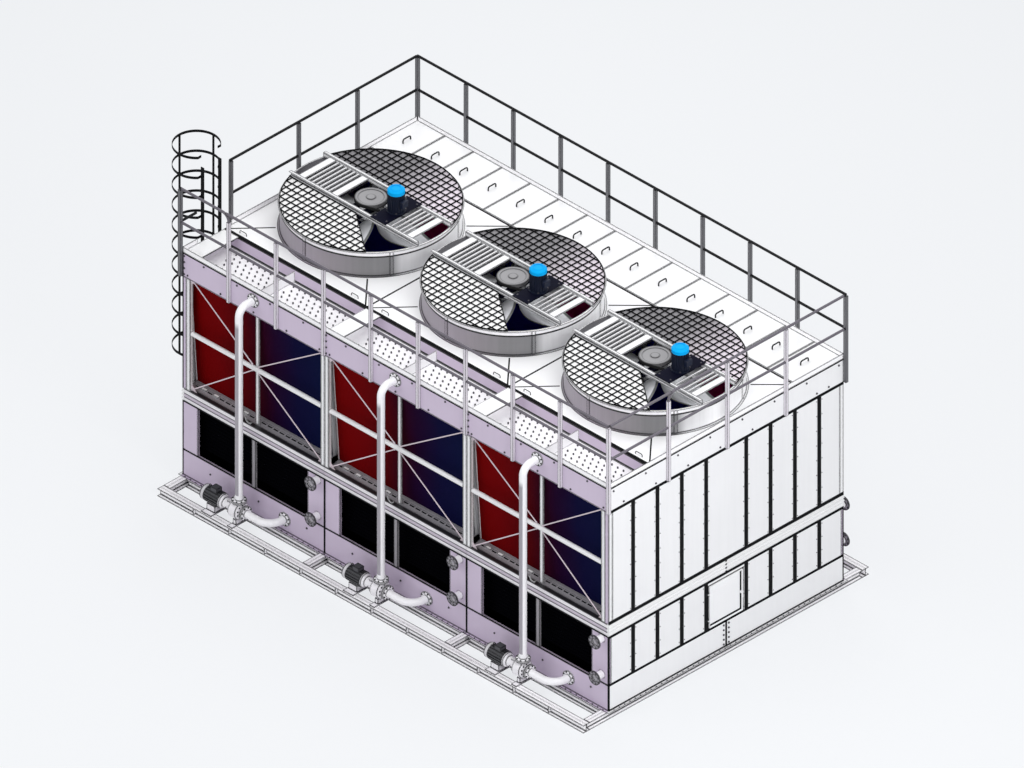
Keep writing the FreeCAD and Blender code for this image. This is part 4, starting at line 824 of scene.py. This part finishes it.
def guardField(name, low, high, middle, slanted):
    # a flat net cut to the stack's rim, its lines then given thickness
    unpick()
    wide = high[0] - low[0]
    deep = high[1] - low[1]
    bpy.ops.mesh.primitive_grid_add(
        x_subdivisions=round(wide / guard["pitch"]), y_subdivisions=round(deep / guard["pitch"]), size=1,
        location=((low[0] + high[0]) / 2, (low[1] + high[1]) / 2, tower["rimTop"] + guard["bar"] / 2))
    obj = bpy.context.object
    obj.name = name
    obj.scale = (wide, deep, 1)
    settle(obj)
    bpy.ops.object.mode_set(mode="EDIT")
    mesh = bmesh.from_edit_mesh(obj.data)
    away = {v: math.hypot(v.co.x - middle, v.co.y) for v in mesh.verts}
    lost = [f for f in mesh.faces if all(away[v] > guard["reach"] for v in f.verts)]
    bmesh.ops.delete(mesh, geom=lost, context="FACES")
    for v in mesh.verts:
        if away[v] > guard["reach"]:
            reach = guard["reach"] / away[v]
            v.co.x = middle + (v.co.x - middle) * reach
            v.co.y = v.co.y * reach
    if slanted:
        # the front net ends on a slant and leaves the right part of the fan open
        corner = Vector((middle + guard["slantFrom"], -guard["beamEdge"], 0))
        way = Vector((1, guard["slantRun"], 0)).normalized()
        bmesh.ops.bisect_plane(mesh, geom=mesh.verts[:] + mesh.edges[:] + mesh.faces[:], plane_co=corner,
                               plane_no=way, clear_outer=True)
    bmesh.ops.remove_doubles(mesh, verts=mesh.verts, dist=guard["weld"])
    bmesh.update_edit_mesh(obj.data)
    doneEditing()
    mod = obj.modifiers.new("wires", "WIREFRAME")
    mod.thickness = guard["bar"]
    mod.use_even_offset = False
    applyAll(obj)
    return obj


def makeScreens():
    strands = []
    half = screen["strand"] / 2
    reach = screen["reach"]
    edge = guard["beamEdge"]
    z0 = tower["rimTop"] + screen["lift"]

    def chord(offset):
        return math.sqrt(max(0.0, reach ** 2 - (abs(offset) + half) ** 2))

    def lanes(low, high):
        # strand middles between two edges
        count = int((high - low) / screen["pitch"])
        spots = [low + half + screen["gap"] + index * screen["pitch"] for index in range(count + 1)]
        return [spot for spot in spots if spot + half <= high]

    fields = []
    for cell in cells:
        fields.append((cellMid(cell), -reach, guard["slantTo"], -reach, -edge))
        fields.append((cellMid(cell), -reach, reach, edge, reach))
        fields.append((cellMid(cell), -reach, screen["walkFrom"], -screen["walkHalf"], screen["walkHalf"]))
    unpick()
    bpy.ops.mesh.primitive_cube_add(size=1, location=(0, 0, 0.5))
    strand = bpy.context.object
    strand.name = "strand"
    settle(strand)
    for middle, x0, x1, y0, y1 in fields:
        for y in lanes(y0, y1):
            a, b = max(x0, -chord(y)), min(x1, chord(y))
            if y < -edge:
                b = min(b, guard["slantFrom"] - (edge + y + half) * guard["slantRun"])
            if b - a > screen["shortest"]:
                strands.append((middle + (a + b) / 2, y, b - a, screen["strand"]))
        for x in lanes(x0, x1):
            a, b = max(y0, -chord(x)), min(y1, chord(x))
            if y1 < 0 and x + half > guard["slantFrom"]:
                b = min(b, -edge - (x + half - guard["slantFrom"]) / guard["slantRun"])
            if b - a > screen["shortest"]:
                strands.append((middle + x, (a + b) / 2, screen["strand"], b - a))
    places = []
    for x, y, wide, deep in strands:
        lift = z0 if wide > deep else z0 + screen["thick"] / 2
        places.append(Matrix.Translation((x, y, lift)) @ Matrix.Diagonal((wide, deep, screen["thick"], 1)))
    mesh = spread("birdScreens", strand, places)
    dress(mesh, "birdScreen")
    print("bird screens", len(places))


def makeGuards():
    fields = []
    for cell in cells:
        x = cellMid(cell)
        fields.append(guardField("net", (x - guard["reach"], -guard["reach"]),
                                 (x + guard["slantTo"], -guard["beamEdge"]), x, True))
        fields.append(guardField("net", (x - guard["reach"], guard["beamEdge"]),
                                 (x + guard["reach"], guard["reach"]), x, False))
    net = joined("guardWires", fields)
    dress(net, "blackWire")
    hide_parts("fan_guards")
    print("guard wires", len(net.data.polygons))


makeScreens()
makeGuards()


# bolts

bolt = {
    "across": 0.024, "cornerShare": 0.577, "head": 0.009, "washer": 0.032, "washerThick": 0.003,
    "crown": 0.003, "crownUp": 0.0012,
}


def boltSource(scale=1.0):
    # hexagon head with a chamfered crown on a round washer
    head = drum("boltHead", bolt["across"] * bolt["cornerShare"] * scale, bolt["head"] * scale,
                (0, 0, (bolt["washerThick"] + bolt["head"] / 2) * scale), sides=6)
    facesWhere(head, lambda n: n.z > 0.9)
    insetPicked(bolt["crown"] * scale)
    liftPicked(bolt["crownUp"] * scale)
    doneEditing()
    washer = drum("boltWasher", bolt["washer"] / 2 * scale, bolt["washerThick"] * scale,
                  (0, 0, bolt["washerThick"] / 2 * scale), sides=10)
    return joined("bolt", [head, washer])


def steps(low, high, pitch):
    count = max(1, round((high - low) / pitch))
    return [low + (high - low) * index / count for index in range(count + 1)]


boltRow = {
    "lowEnds": (0.10, 2.70), "topEnds": (0.42, 2.38), "pitch": 0.65, "inset": 0.055,
    "jointAt": (0.035, 2.765), "jointInset": 0.05, "jointPitch": 0.1, "jointRoll": 0.3,
    "basinEnds": (0.55, 2.45), "basinPitch": 0.9, "basinUp": 0.26, "basinRoll": 0.5,
    "endReach": 2.22, "endPitch": 0.63, "endInset": 0.07, "endShift": 0.2, "endTurn": 2,
    "seamAt": (-0.05, 0.05), "seamInset": 0.06, "seamPitch": 0.08,
    "flangeX": 4.12, "flangeY": 2.24, "flangePitch": 0.105, "flangeFront": 2.349, "flangeSide": 4.234,
    "flangeUp": 0.012, "flangeScale": 0.72,
}


def makeBolts():
    big = []
    row = boltRow
    low, top, base = tower["fasciaLow"], tower["fasciaTop"], tower["baseTop"]
    for side in (-1, 1):
        y = side * tower["back"]
        way = (0, side, 0)
        for cell in cells:
            for x in steps(*within(cell, row["lowEnds"]), row["pitch"]):
                big.append(facing((x, y, low + row["inset"]), way))
            for x in steps(*within(cell, row["topEnds"]), row["pitch"]):
                big.append(facing((x, y, top - row["inset"]), way))
            for x in within(cell, row["jointAt"]):
                for z in steps(low + row["jointInset"], top - row["jointInset"], row["jointPitch"]):
                    big.append(facing((x, y, z), way, row["jointRoll"]))
            for x in steps(*within(cell, row["basinEnds"]), row["basinPitch"]):
                big.append(facing((x, y, base + row["basinUp"]), way, row["basinRoll"]))
    for side in (-1, 1):
        x = side * tower["right"]
        way = (side, 0, 0)
        for y in steps(-row["endReach"], row["endReach"], row["endPitch"]):
            shift = row["endShift"] if y < row["endTurn"] else -row["endShift"]
            big.append(facing((x, y, top - row["endInset"]), way))
            big.append(facing((x, y + shift, low + row["endInset"]), way))
        for y in row["seamAt"]:
            for z in steps(base + row["seamInset"], tower["basinTop"] - row["seamInset"], row["seamPitch"]):
                big.append(facing((x, y, z), way))
    bolts = spread("casingBolts", boltSource(), big)
    dress(bolts, "boltZinc")
    small = []
    up = (0, 0, 1)
    z = base + row["flangeUp"]
    for side in (-1, 1):
        for x in steps(-row["flangeX"], row["flangeX"], row["flangePitch"]):
            small.append(facing((x, side * row["flangeFront"], z), up))
        for y in steps(-row["flangeY"], row["flangeY"], row["flangePitch"]):
            small.append(facing((side * row["flangeSide"], y, z), up))
    lower = spread("flangeBolts", boltSource(row["flangeScale"]), small)
    dress(lower, "boltZinc")
    print("bolts", len(big) + len(small))


makeBolts()


# end wall joints

endWall = {
    "joints": [-1.835, -1.355, -0.875, -0.395, 0.395, 0.875, 1.355, 1.835],
    "strip": 0.074, "proud": 0.003, "groove": 0.006, "grooveDeep": 0.001,
    "screwPitch": 0.24, "screwInset": 0.07, "screwAside": (-0.052, 0.052), "screwScale": 0.5,
}


def jointStrip(low, high):
    strip = block("strip", low, high)
    facesWhere(strip, lambda n: abs(n.x) > 0.9)
    insetPicked(endWall["groove"], endWall["grooveDeep"])
    doneEditing()
    return strip


def makeEndJoints():
    strips = []
    screws = []
    half = endWall["strip"] / 2
    inset = endWall["screwInset"]
    for side in (-1, 1):
        x = side * tower["right"]
        low, high = sorted((x, side * (tower["right"] + endWall["proud"])))
        for y in endWall["joints"]:
            for z0, z1 in ((tower["basinTop"], tower["bandLow"]), (tower["bandTop"], tower["fasciaLow"])):
                strips.append(jointStrip((low, y - half, z0), (high, y + half, z1)))
                for z in steps(z0 + inset, z1 - inset, endWall["screwPitch"]):
                    for shift in endWall["screwAside"]:
                        screws.append(facing((x, y + shift, z), (side, 0, 0)))
    strips = joined("endJointStrips", strips)
    dress(strips, "jointDark")
    heads = spread("endPanelScrews", boltSource(endWall["screwScale"]), screws)
    dress(heads, "boltZinc")
    print("end joints", len(screws))


makeEndJoints()


# black sealant beads along the main joints

bead = {
    "wide": 0.032, "thin": 0.020, "proud": 0.003, "foot": 0.012,
    "deckEnd": 4.19, "deckFrontOver": 0.004, "deckFrontDrop": 0.014, "deckFrontWide": 1.2,
    "troughX": (0.296, 0.312), "troughY": (-2.30, -1.505), "troughZ": (3.866, 3.868),
}
# end wall lines: what they follow, how far above it and how wide in whole beads
endBeads = [
    ("basinTop", 0.0, 1.25), ("bandLow", -0.006, 1.35), ("bandTop", 0.016, 1.8), ("fasciaLow", 0.002, 1.5),
]


def makeBeads():
    beads = []
    w, t, p = bead["wide"], bead["thin"], bead["proud"]
    left, right, front, back = tower["left"], tower["right"], tower["front"], tower["back"]
    foot = tower["baseTop"] + bead["foot"]
    basinTop, bandLow, bandTop = tower["basinTop"], tower["bandLow"], tower["bandTop"]
    low, top = tower["fasciaLow"], tower["fasciaTop"]

    def addBead(start, end):
        beads.append(block("bead", start, end))

    for side in (-1, 1):
        # long sides
        y0, y1 = sorted((side * back, side * (back + p)))
        for z in (basinTop, bandLow, top - t / 2):
            addBead((left, y0, z - t / 2), (right, y1, z + t / 2))
        for cell in (1, 2):
            x = cellLeft(cell)
            for z0, z1 in ((foot, bandLow), (low, top)):
                addBead((x - w / 2, y0, z0), (x + w / 2, y1, z1))
        for a, b, upper in ((left, left + t, bandTop), (right - t, right, low)):
            for z0, z1 in ((foot, bandLow), (upper, top)):
                addBead((a, y0, z0), (b, y1, z1))
        # end walls
        x0, x1 = sorted((side * right, side * (right + p)))
        lines = [(tower[place] + over, w * wide) for place, over, wide in endBeads]
        lines += [(top - t / 2, t), (foot + t / 2, t)]
        for z, size in lines:
            addBead((x0, front, z - size / 2), (x1, back, z + size / 2))
        for z0, z1 in ((bandLow, bandTop), (foot, basinTop)):
            addBead((x0, -w / 2, z0), (x1, w / 2, z1))
        for y in (front + t / 2, back - t / 2):
            addBead((x0, y - t / 2, foot), (x1, y + t / 2, bandLow))
    # deck plates against the troughs and covers
    end, z = bead["deckEnd"], tower["deckTop"]
    y0, y1 = tower["deckFront"], tower["deckBack"]
    addBead((-end, y0 - bead["deckFrontOver"], z - bead["deckFrontDrop"]),
            (end, y0 + w * bead["deckFrontWide"], z + p))
    addBead((-end, y1 - w / 2, z), (end, y1, z + p))
    for cell in cells:
        a, b = within(cell, bead["troughX"])
        addBead((a, bead["troughY"][0], bead["troughZ"][0]), (b, bead["troughY"][1], bead["troughZ"][1]))
    seals = joined("jointSeals", beads)
    dress(seals, "jointDark")
    print("beads", len(beads))


makeBeads()


# spray nozzles in the front troughs

nozzle = {
    "radius": 0.0125, "tall": 0.024, "rowPitch": 0.098, "pitch": 0.112, "floor": 3.640, "rim": 0.005,
    "lip": 0.0005, "deep": 0.018, "fromFront": 0.11, "lastRow": -1.56, "ends": (0.36, 2.62), "clear": 0.05,
}


def makeNozzles():
    cup = drum("cup", nozzle["radius"], nozzle["tall"], (0, 0, nozzle["tall"] / 2), sides=12)
    facesWhere(cup, lambda n: n.z > 0.9)
    insetPicked(nozzle["rim"])
    insetPicked(nozzle["lip"])
    liftPicked(-nozzle["deep"])
    doneEditing()
    places = []
    for cell in cells:
        a, b = within(cell, nozzle["ends"])
        row = 0
        y = tower["front"] + nozzle["fromFront"]
        while y < nozzle["lastRow"]:
            shift = nozzle["pitch"] / 2 if row % 2 else 0
            for x in steps(a + shift, b + shift, nozzle["pitch"]):
                if abs(x - cellMid(cell)) > nozzle["clear"]:
                    places.append(Matrix.Translation((x, y, nozzle["floor"])))
            y += nozzle["rowPitch"]
            row += 1
    cups = spread("sprayNozzles", cup, places)
    dress(cups, "nozzleRubber")
    print("nozzles", len(places))


makeNozzles()


# fan deck creases and little lift handles

crease = {
    "wide": 0.022, "proud": 0.002, "ring": 1.33, "ends": (0.02, 2.78), "inset": 0.010, "joint": 0.012,
    "gripAt": (0.30, 2.50), "gripY": -1.42, "gripBar": 0.006,
    "grip": [(-0.065, 0, 0), (-0.065, 0, 0.03), (-0.05, 0, 0.045), (0.05, 0, 0.045), (0.065, 0, 0.03),
             (0.065, 0, 0)],
}


def makeDeckLines():
    lines = []
    grips = []
    top = tower["deckTop"]
    half = crease["wide"] / 2
    front, back = tower["deckFront"], tower["deckBack"]
    for cell in cells:
        middle = Vector((cellMid(cell), 0, top))
        for y in (front + crease["inset"], back - crease["inset"]):
            for x in within(cell, crease["ends"]):
                end = Vector((x, y, top))
                way = (end - middle).normalized()
                begin = middle + way * crease["ring"]
                length = (end - begin).length
                bar = block("crease", (0, -half, 0), (length, half, crease["proud"]))
                turn = Matrix.Rotation(math.atan2(way.y, way.x), 4, "Z")
                bar.matrix_world = Matrix.Translation(begin) @ turn
                settle(bar)
                lines.append(bar)
        for x in within(cell, crease["gripAt"]):
            grips.append((x, crease["gripY"], top))
    for x in (cellLeft(1), cellLeft(2)):
        lines.append(block("joint", (x - crease["joint"], front, top),
                           (x + crease["joint"], back, top + crease["proud"])))
    seams = joined("deckCreases", lines)
    dress(seams, "jointDark")
    bow = tube("deckGrips", crease["grip"], crease["gripBar"])
    bows = spread("deckGrips", bow, grips)
    dress(bows, "blackWire")
    print("deck lines", len(lines))


makeDeckLines()


# sill slots and clips under the fill

sill = {
    "foot": (-2.215, 1.593), "top": (-2.103, 1.617), "slotLong": 0.085, "slotPitch": 0.118, "slotHalf": 0.022,
    "slotThick": 0.002, "rim": 0.004, "deep": 0.0015, "lift": 0.0005, "ends": (0.16, 2.64),
    "clip": (0.055, 0.028, 0.014), "clipEdge": 0.003, "clipShare": (7, (1, 3)), "clipClear": 0.1,
}


def makeSills():
    long, wide, tall = sill["slotLong"] / 2, sill["slotHalf"], sill["slotThick"]
    slot = block("slot", (-long, -wide, 0), (long, wide, tall))
    facesWhere(slot, lambda n: n.z > 0.9)
    insetPicked(sill["rim"])
    liftPicked(-sill["deep"])
    doneEditing()
    long, wide, tall = sill["clip"]
    clip = block("clip", (-long, -wide, 0), (long, wide, tall), sill["clipEdge"])
    slots = []
    clips = []
    y0, z0 = sill["foot"]
    y1, z1 = sill["top"]
    lean = math.atan2(z1 - z0, y1 - y0)
    every, taken = sill["clipShare"]
    for cell in cells:
        a, b = within(cell, sill["ends"])
        for index, x in enumerate(steps(a, b, sill["slotPitch"])):
            for side in (1, -1):
                spot = Matrix.Translation((x, side * (y0 + y1) / 2, (z0 + z1) / 2 + sill["lift"]))
                spot = spot @ Matrix.Rotation(side * lean, 4, "X")
                if index % every in taken and x < cellMid(cell) - sill["clipClear"]:
                    clips.append(spot)
                else:
                    slots.append(spot)
    dress(spread("sillSlots", slot, slots), "jointDark")
    dress(spread("sillClips", clip, clips), "palePaint")
    print("sill slots and clips", len(slots) + len(clips))


makeSills()


# fill sheet edges

sheets = {
    "pitch": 0.028, "thick": 0.0022, "proud": 0.0008, "low": 1.619, "high": 3.443, "footY": -2.075,
    "headY": -2.203, "ends": (0.07, 2.73),
}


def makeFillSheets():
    # thin upright sheet edges standing just proud of each pack's face, inside and out
    places = []
    z0, z1 = sheets["low"], sheets["high"]
    yFoot, yHead = sheets["footY"], sheets["headY"]
    unpick()
    bpy.ops.mesh.primitive_plane_add(size=1, location=(0, 0, 0))
    leaf = bpy.context.object
    leaf.name = "leaf"
    pick(leaf)
    bpy.ops.object.mode_set(mode="EDIT")
    bpy.ops.mesh.select_all(action="SELECT")
    bpy.ops.mesh.subdivide(number_cuts=1)
    mesh = bmesh.from_edit_mesh(leaf.data)
    for v in mesh.verts:
        along = v.co.x + 0.5
        out = v.co.y + 0.5
        z = z0 + (z1 - z0) * along
        y = yFoot + (yHead - yFoot) * along - sheets["proud"] * out
        v.co = Vector((0, y, z))
    bmesh.update_edit_mesh(leaf.data)
    doneEditing()
    mod = leaf.modifiers.new("thick", "SOLIDIFY")
    mod.thickness = sheets["thick"]
    applyAll(leaf)
    for cell in cells:
        a, b = within(cell, sheets["ends"])
        for x in steps(a, b, sheets["pitch"]):
            places.append(Matrix.Translation((x, 0, 0)))
            places.append(Matrix.Translation((x, 0, 0)) @ Matrix.Rotation(math.pi, 4, "Z"))
    fins = spread("fillSheetEdges", leaf, places)
    dress(fins, "fillSheet")
    print("fill sheet edges", len(places))


makeFillSheets()


# pump and pipe details

pumpLine = {
    "fromFront": 0.293, "high": 0.340, "middle": 1.404, "inlet": 1.530, "outletTop": 0.495, "suction": 2.021,
    "riserTop": 3.719, "circle": 0.090, "flange": 0.020, "bolts": 8, "boltScale": 0.8,
    "coverAt": 0.065, "coverCircle": 0.098, "coverBolts": 10, "coverShown": slice(2, 8),
    "motorStart": 0.746, "motorRadius": 0.117, "eyeAlong": 0.10, "eyeSink": 0.004, "bracket": 0.105,
}
cowl = {
    "radius": 0.112, "thick": 0.012, "edge": 0.002, "gap": 0.0005,
    "steps": [(0.012, -0.003), (0.02, 0.003), (0.02, -0.003), (0.02, 0.003)],
}
eye = {"radius": 0.022, "bar": 0.006, "up": 0.03, "sides": 14}
web = {"low": (-0.006, 0.055, -0.02), "high": (0.006, 0.108, 0.075), "edge": 0.002, "rim": 0.003, "count": 6}


def ringOf(centre, axis, radius, count):
    axis = Vector(axis)
    side = Vector((0, 0, 1)).cross(axis)
    if side.length < 0.5:
        side = Vector((1, 0, 0))
    other = axis.cross(side)
    spots = []
    for index in range(count):
        turn = 2 * math.pi * (index + 0.5) / count
        point = Vector(centre) + side * math.cos(turn) * radius + other * math.sin(turn) * radius
        spots.append(facing(point, axis, turn))
    return spots


def makePumpDetails():
    heads = []
    cowls = []
    webs = []
    eyes = []
    y, z, t = tower["front"] - pumpLine["fromFront"], pumpLine["high"], pumpLine["flange"]
    wall = tower["front"] - t
    for cell in cells:
        x = cellLeft(cell)
        middle = x + pumpLine["middle"]
        inlet = x + pumpLine["inlet"]
        outlet = pumpLine["outletTop"]
        rings = [
            ((inlet + t, y, z), (1, 0, 0)), ((inlet - t, y, z), (-1, 0, 0)),
            ((middle, y, outlet + t), (0, 0, 1)), ((middle, y, outlet - t), (0, 0, -1)),
            ((x + pumpLine["suction"], wall, z), (0, -1, 0)),
            ((middle, wall, pumpLine["riserTop"]), (0, -1, 0)),
        ]
        for centre, axis in rings:
            heads += ringOf(centre, axis, pumpLine["circle"], pumpLine["bolts"])
        cover = ringOf((middle + pumpLine["coverAt"], y, z), (1, 0, 0), pumpLine["coverCircle"],
                       pumpLine["coverBolts"])
        heads += cover[pumpLine["coverShown"]]
        start = x + pumpLine["motorStart"]
        cowls.append(facing((start - cowl["gap"], y, z), (-1, 0, 0)))
        top = z + pumpLine["motorRadius"] - pumpLine["eyeSink"]
        eyes.append(Matrix.Translation((start + pumpLine["eyeAlong"], y, top)))
        bracket = facing((middle - pumpLine["bracket"], y, z), (-1, 0, 0))
        for index in range(web["count"]):
            webs.append(bracket @ Matrix.Rotation(2 * math.pi * index / web["count"], 4, "Z"))
    dress(spread("pipeBolts", boltSource(pumpLine["boltScale"]), heads), "pumpBlack")
    # fan cowl with rings pressed in and out
    disc = drum("cowl", cowl["radius"], cowl["thick"], (0, 0, cowl["thick"] / 2), sides=32, edge=cowl["edge"])
    facesWhere(disc, lambda n: n.z > 0.9)
    for inset, depth in cowl["steps"]:
        insetPicked(inset, depth)
    doneEditing()
    dress(spread("motorCowls", disc, cowls), "pumpIron")
    turns = [2 * math.pi * index / eye["sides"] for index in range(eye["sides"])]
    loop = [(eye["radius"] * math.cos(turn), 0, eye["up"] + eye["radius"] * math.sin(turn)) for turn in turns]
    dress(spread("liftingEyes", tube("eye", loop, eye["bar"], closed=True), eyes), "pumpBlack")
    # bearing bracket webs between motor and casing
    plate = block("web", web["low"], web["high"], web["edge"])
    facesWhere(plate, lambda n: n.z > 0.9)
    insetPicked(web["rim"])
    doneEditing()
    dress(spread("bracketWebs", plate, webs), "pumpIron")
    print("pump details", len(heads))


makePumpDetails()


# fan drive details

drive = {
    "motorX": 0.496, "plateTop": 4.365, "capTop": 4.735, "boltScale": 0.9,
    "footX": 0.11, "footY": 0.30, "ring": 0.132, "ringBolts": 4, "ringUp": 0.018,
    "boxX": 0.128, "boxUp": 0.17, "boxLow": (-0.005, -0.06, -0.05), "boxHigh": (0.055, 0.06, 0.05),
    "boxEdge": 0.006, "boxRim": 0.008, "boxLid": 0.004,
    "lidRadius": 0.085, "lidThick": 0.006, "lidEdge": 0.002, "lidRim": 0.02, "lidDeep": 0.002,
}


def makeDriveDetails():
    boxes = []
    heads = []
    lids = []
    low = drive["plateTop"]
    for cell in cells:
        x = cellMid(cell) + drive["motorX"]
        boxes.append(Matrix.Translation((x + drive["boxX"], 0, low + drive["boxUp"])))
        for dx in (-drive["footX"], drive["footX"]):
            for dy in (-drive["footY"], drive["footY"]):
                heads.append(facing((x + dx, dy, low), (0, 0, 1)))
        for index in range(drive["ringBolts"]):
            turn = 2 * math.pi * (index + 0.5) / drive["ringBolts"]
            heads.append(facing((x + drive["ring"] * math.cos(turn), drive["ring"] * math.sin(turn),
                                 low + drive["ringUp"]), (0, 0, 1)))
        lids.append(Matrix.Translation((x, 0, drive["capTop"])))
    box = block("box", drive["boxLow"], drive["boxHigh"], drive["boxEdge"])
    facesWhere(box, lambda n: n.x > 0.9)
    insetPicked(drive["boxRim"], drive["boxLid"])
    doneEditing()
    dress(spread("terminalBoxes", box, boxes), "motorNavy")
    dress(spread("driveBolts", boltSource(drive["boltScale"]), heads), "boltZinc")
    lid = drum("lid", drive["lidRadius"], drive["lidThick"], (0, 0, drive["lidThick"] / 2), sides=28,
               edge=drive["lidEdge"])
    facesWhere(lid, lambda n: n.z > 0.9)
    insetPicked(drive["lidRim"], -drive["lidDeep"])
    doneEditing()
    dress(spread("capLids", lid, lids), "motorBlue")
    print("drive details", len(heads))


makeDriveDetails()


# access door seal and trim, the bolder right and bottom strips a painted shadow line

door = {
    "y": (-0.349, 0.306), "z": (0.607, 1.296), "face": 4.2003, "seal": 0.004, "wide": 0.022, "lap": 0.012,
    "shadowBold": 0.036, "edge": 0.001,
    "leaf": 4.2312, "trimY": (-0.346, 0.268), "trimZ": (0.648, 1.292), "trim": 0.030, "trimThick": 0.003,
}


def makeDoorSeal():
    (y0, y1), (z0, z1) = door["y"], door["z"]
    w, e, b = door["wide"], door["lap"], door["shadowBold"]
    x0 = door["face"]
    x1 = x0 + door["seal"]
    # the right and bottom seal strips are widened by the bold size, a painted shadow line
    bars = [
        block("seal", (x0, y0 - e, z0 - b), (x1, y0 + w - e, z1 + e), door["edge"]),
        block("seal", (x0, y1 - w, z0 - b), (x1, y1 + b, z1 + e), door["edge"]),
        block("seal", (x0, y0 + w - e, z0 - b), (x1, y1 - w, z0 + w - e), door["edge"]),
        block("seal", (x0, y0 + w - e, z1 - w + e), (x1, y1 - w, z1 + e), door["edge"]),
    ]
    dress(joined("doorSeal", bars), "jointDark")
    # black trim on the leaf along its right and bottom only, a painted shadow line
    (y0, y1), (z0, z1) = door["trimY"], door["trimZ"]
    w = door["trim"]
    x0 = door["leaf"]
    x1 = x0 + door["trimThick"]
    bars = [block("trim", (x0, y1 - w, z0), (x1, y1, z1)), block("trim", (x0, y0, z0), (x1, y1 - w, z0 + w))]
    dress(joined("doorShadowTrim", bars), "jointDark", "door")
    print("door seal and trim")


makeDoorSeal()


# hooks beside each mid post

hook = {
    "x": -0.10, "y": 2.300, "radius": 0.011,
    "path": [(-0.07, 0, 0.09), (-0.068, 0, 0.05), (-0.05, 0, 0.02), (-0.02, 0, 0.005), (0.02, 0, 0.01),
             (0.045, 0, 0.035)],
}


def makeHooks():
    bend = tube("hook", hook["path"], hook["radius"])
    places = []
    for cell in cells:
        for side in (-1, 1):
            places.append(Matrix.Translation((cellMid(cell) + hook["x"], side * hook["y"], tower["bandTop"])))
    dress(spread("bandHooks", bend, places), "palePaint")
    print("hooks", len(places))


makeHooks()


# base frame stiffeners

beam = {
    "half": 0.0625, "web": 0.0035, "low": 0.009, "high": 0.116, "plateHalf": 0.004, "inset": 0.004,
    "taper": 0.86, "y": 2.7525, "reach": 3.5, "pitch": 0.7,
}


def makeStiffeners():
    wide, reach = beam["plateHalf"], beam["half"] - beam["inset"]
    plate = block("plate", (-wide, beam["web"], beam["low"]), (wide, reach, beam["high"]))
    facesWhere(plate, lambda n: n.y > 0.9)
    bpy.ops.transform.resize(value=(1, 1, beam["taper"]))
    doneEditing()
    places = []
    for y in (-beam["y"], beam["y"]):
        for x in steps(-beam["reach"], beam["reach"], beam["pitch"]):
            places.append(Matrix.Translation((x, y, 0)))
            places.append(Matrix.Translation((x, y, 0)) @ Matrix.Rotation(math.pi, 4, "Z"))
    dress(spread("beamStiffeners", plate, places), "frameSteel")
    print("stiffeners", len(places))


makeStiffeners()


print("all pieces made")
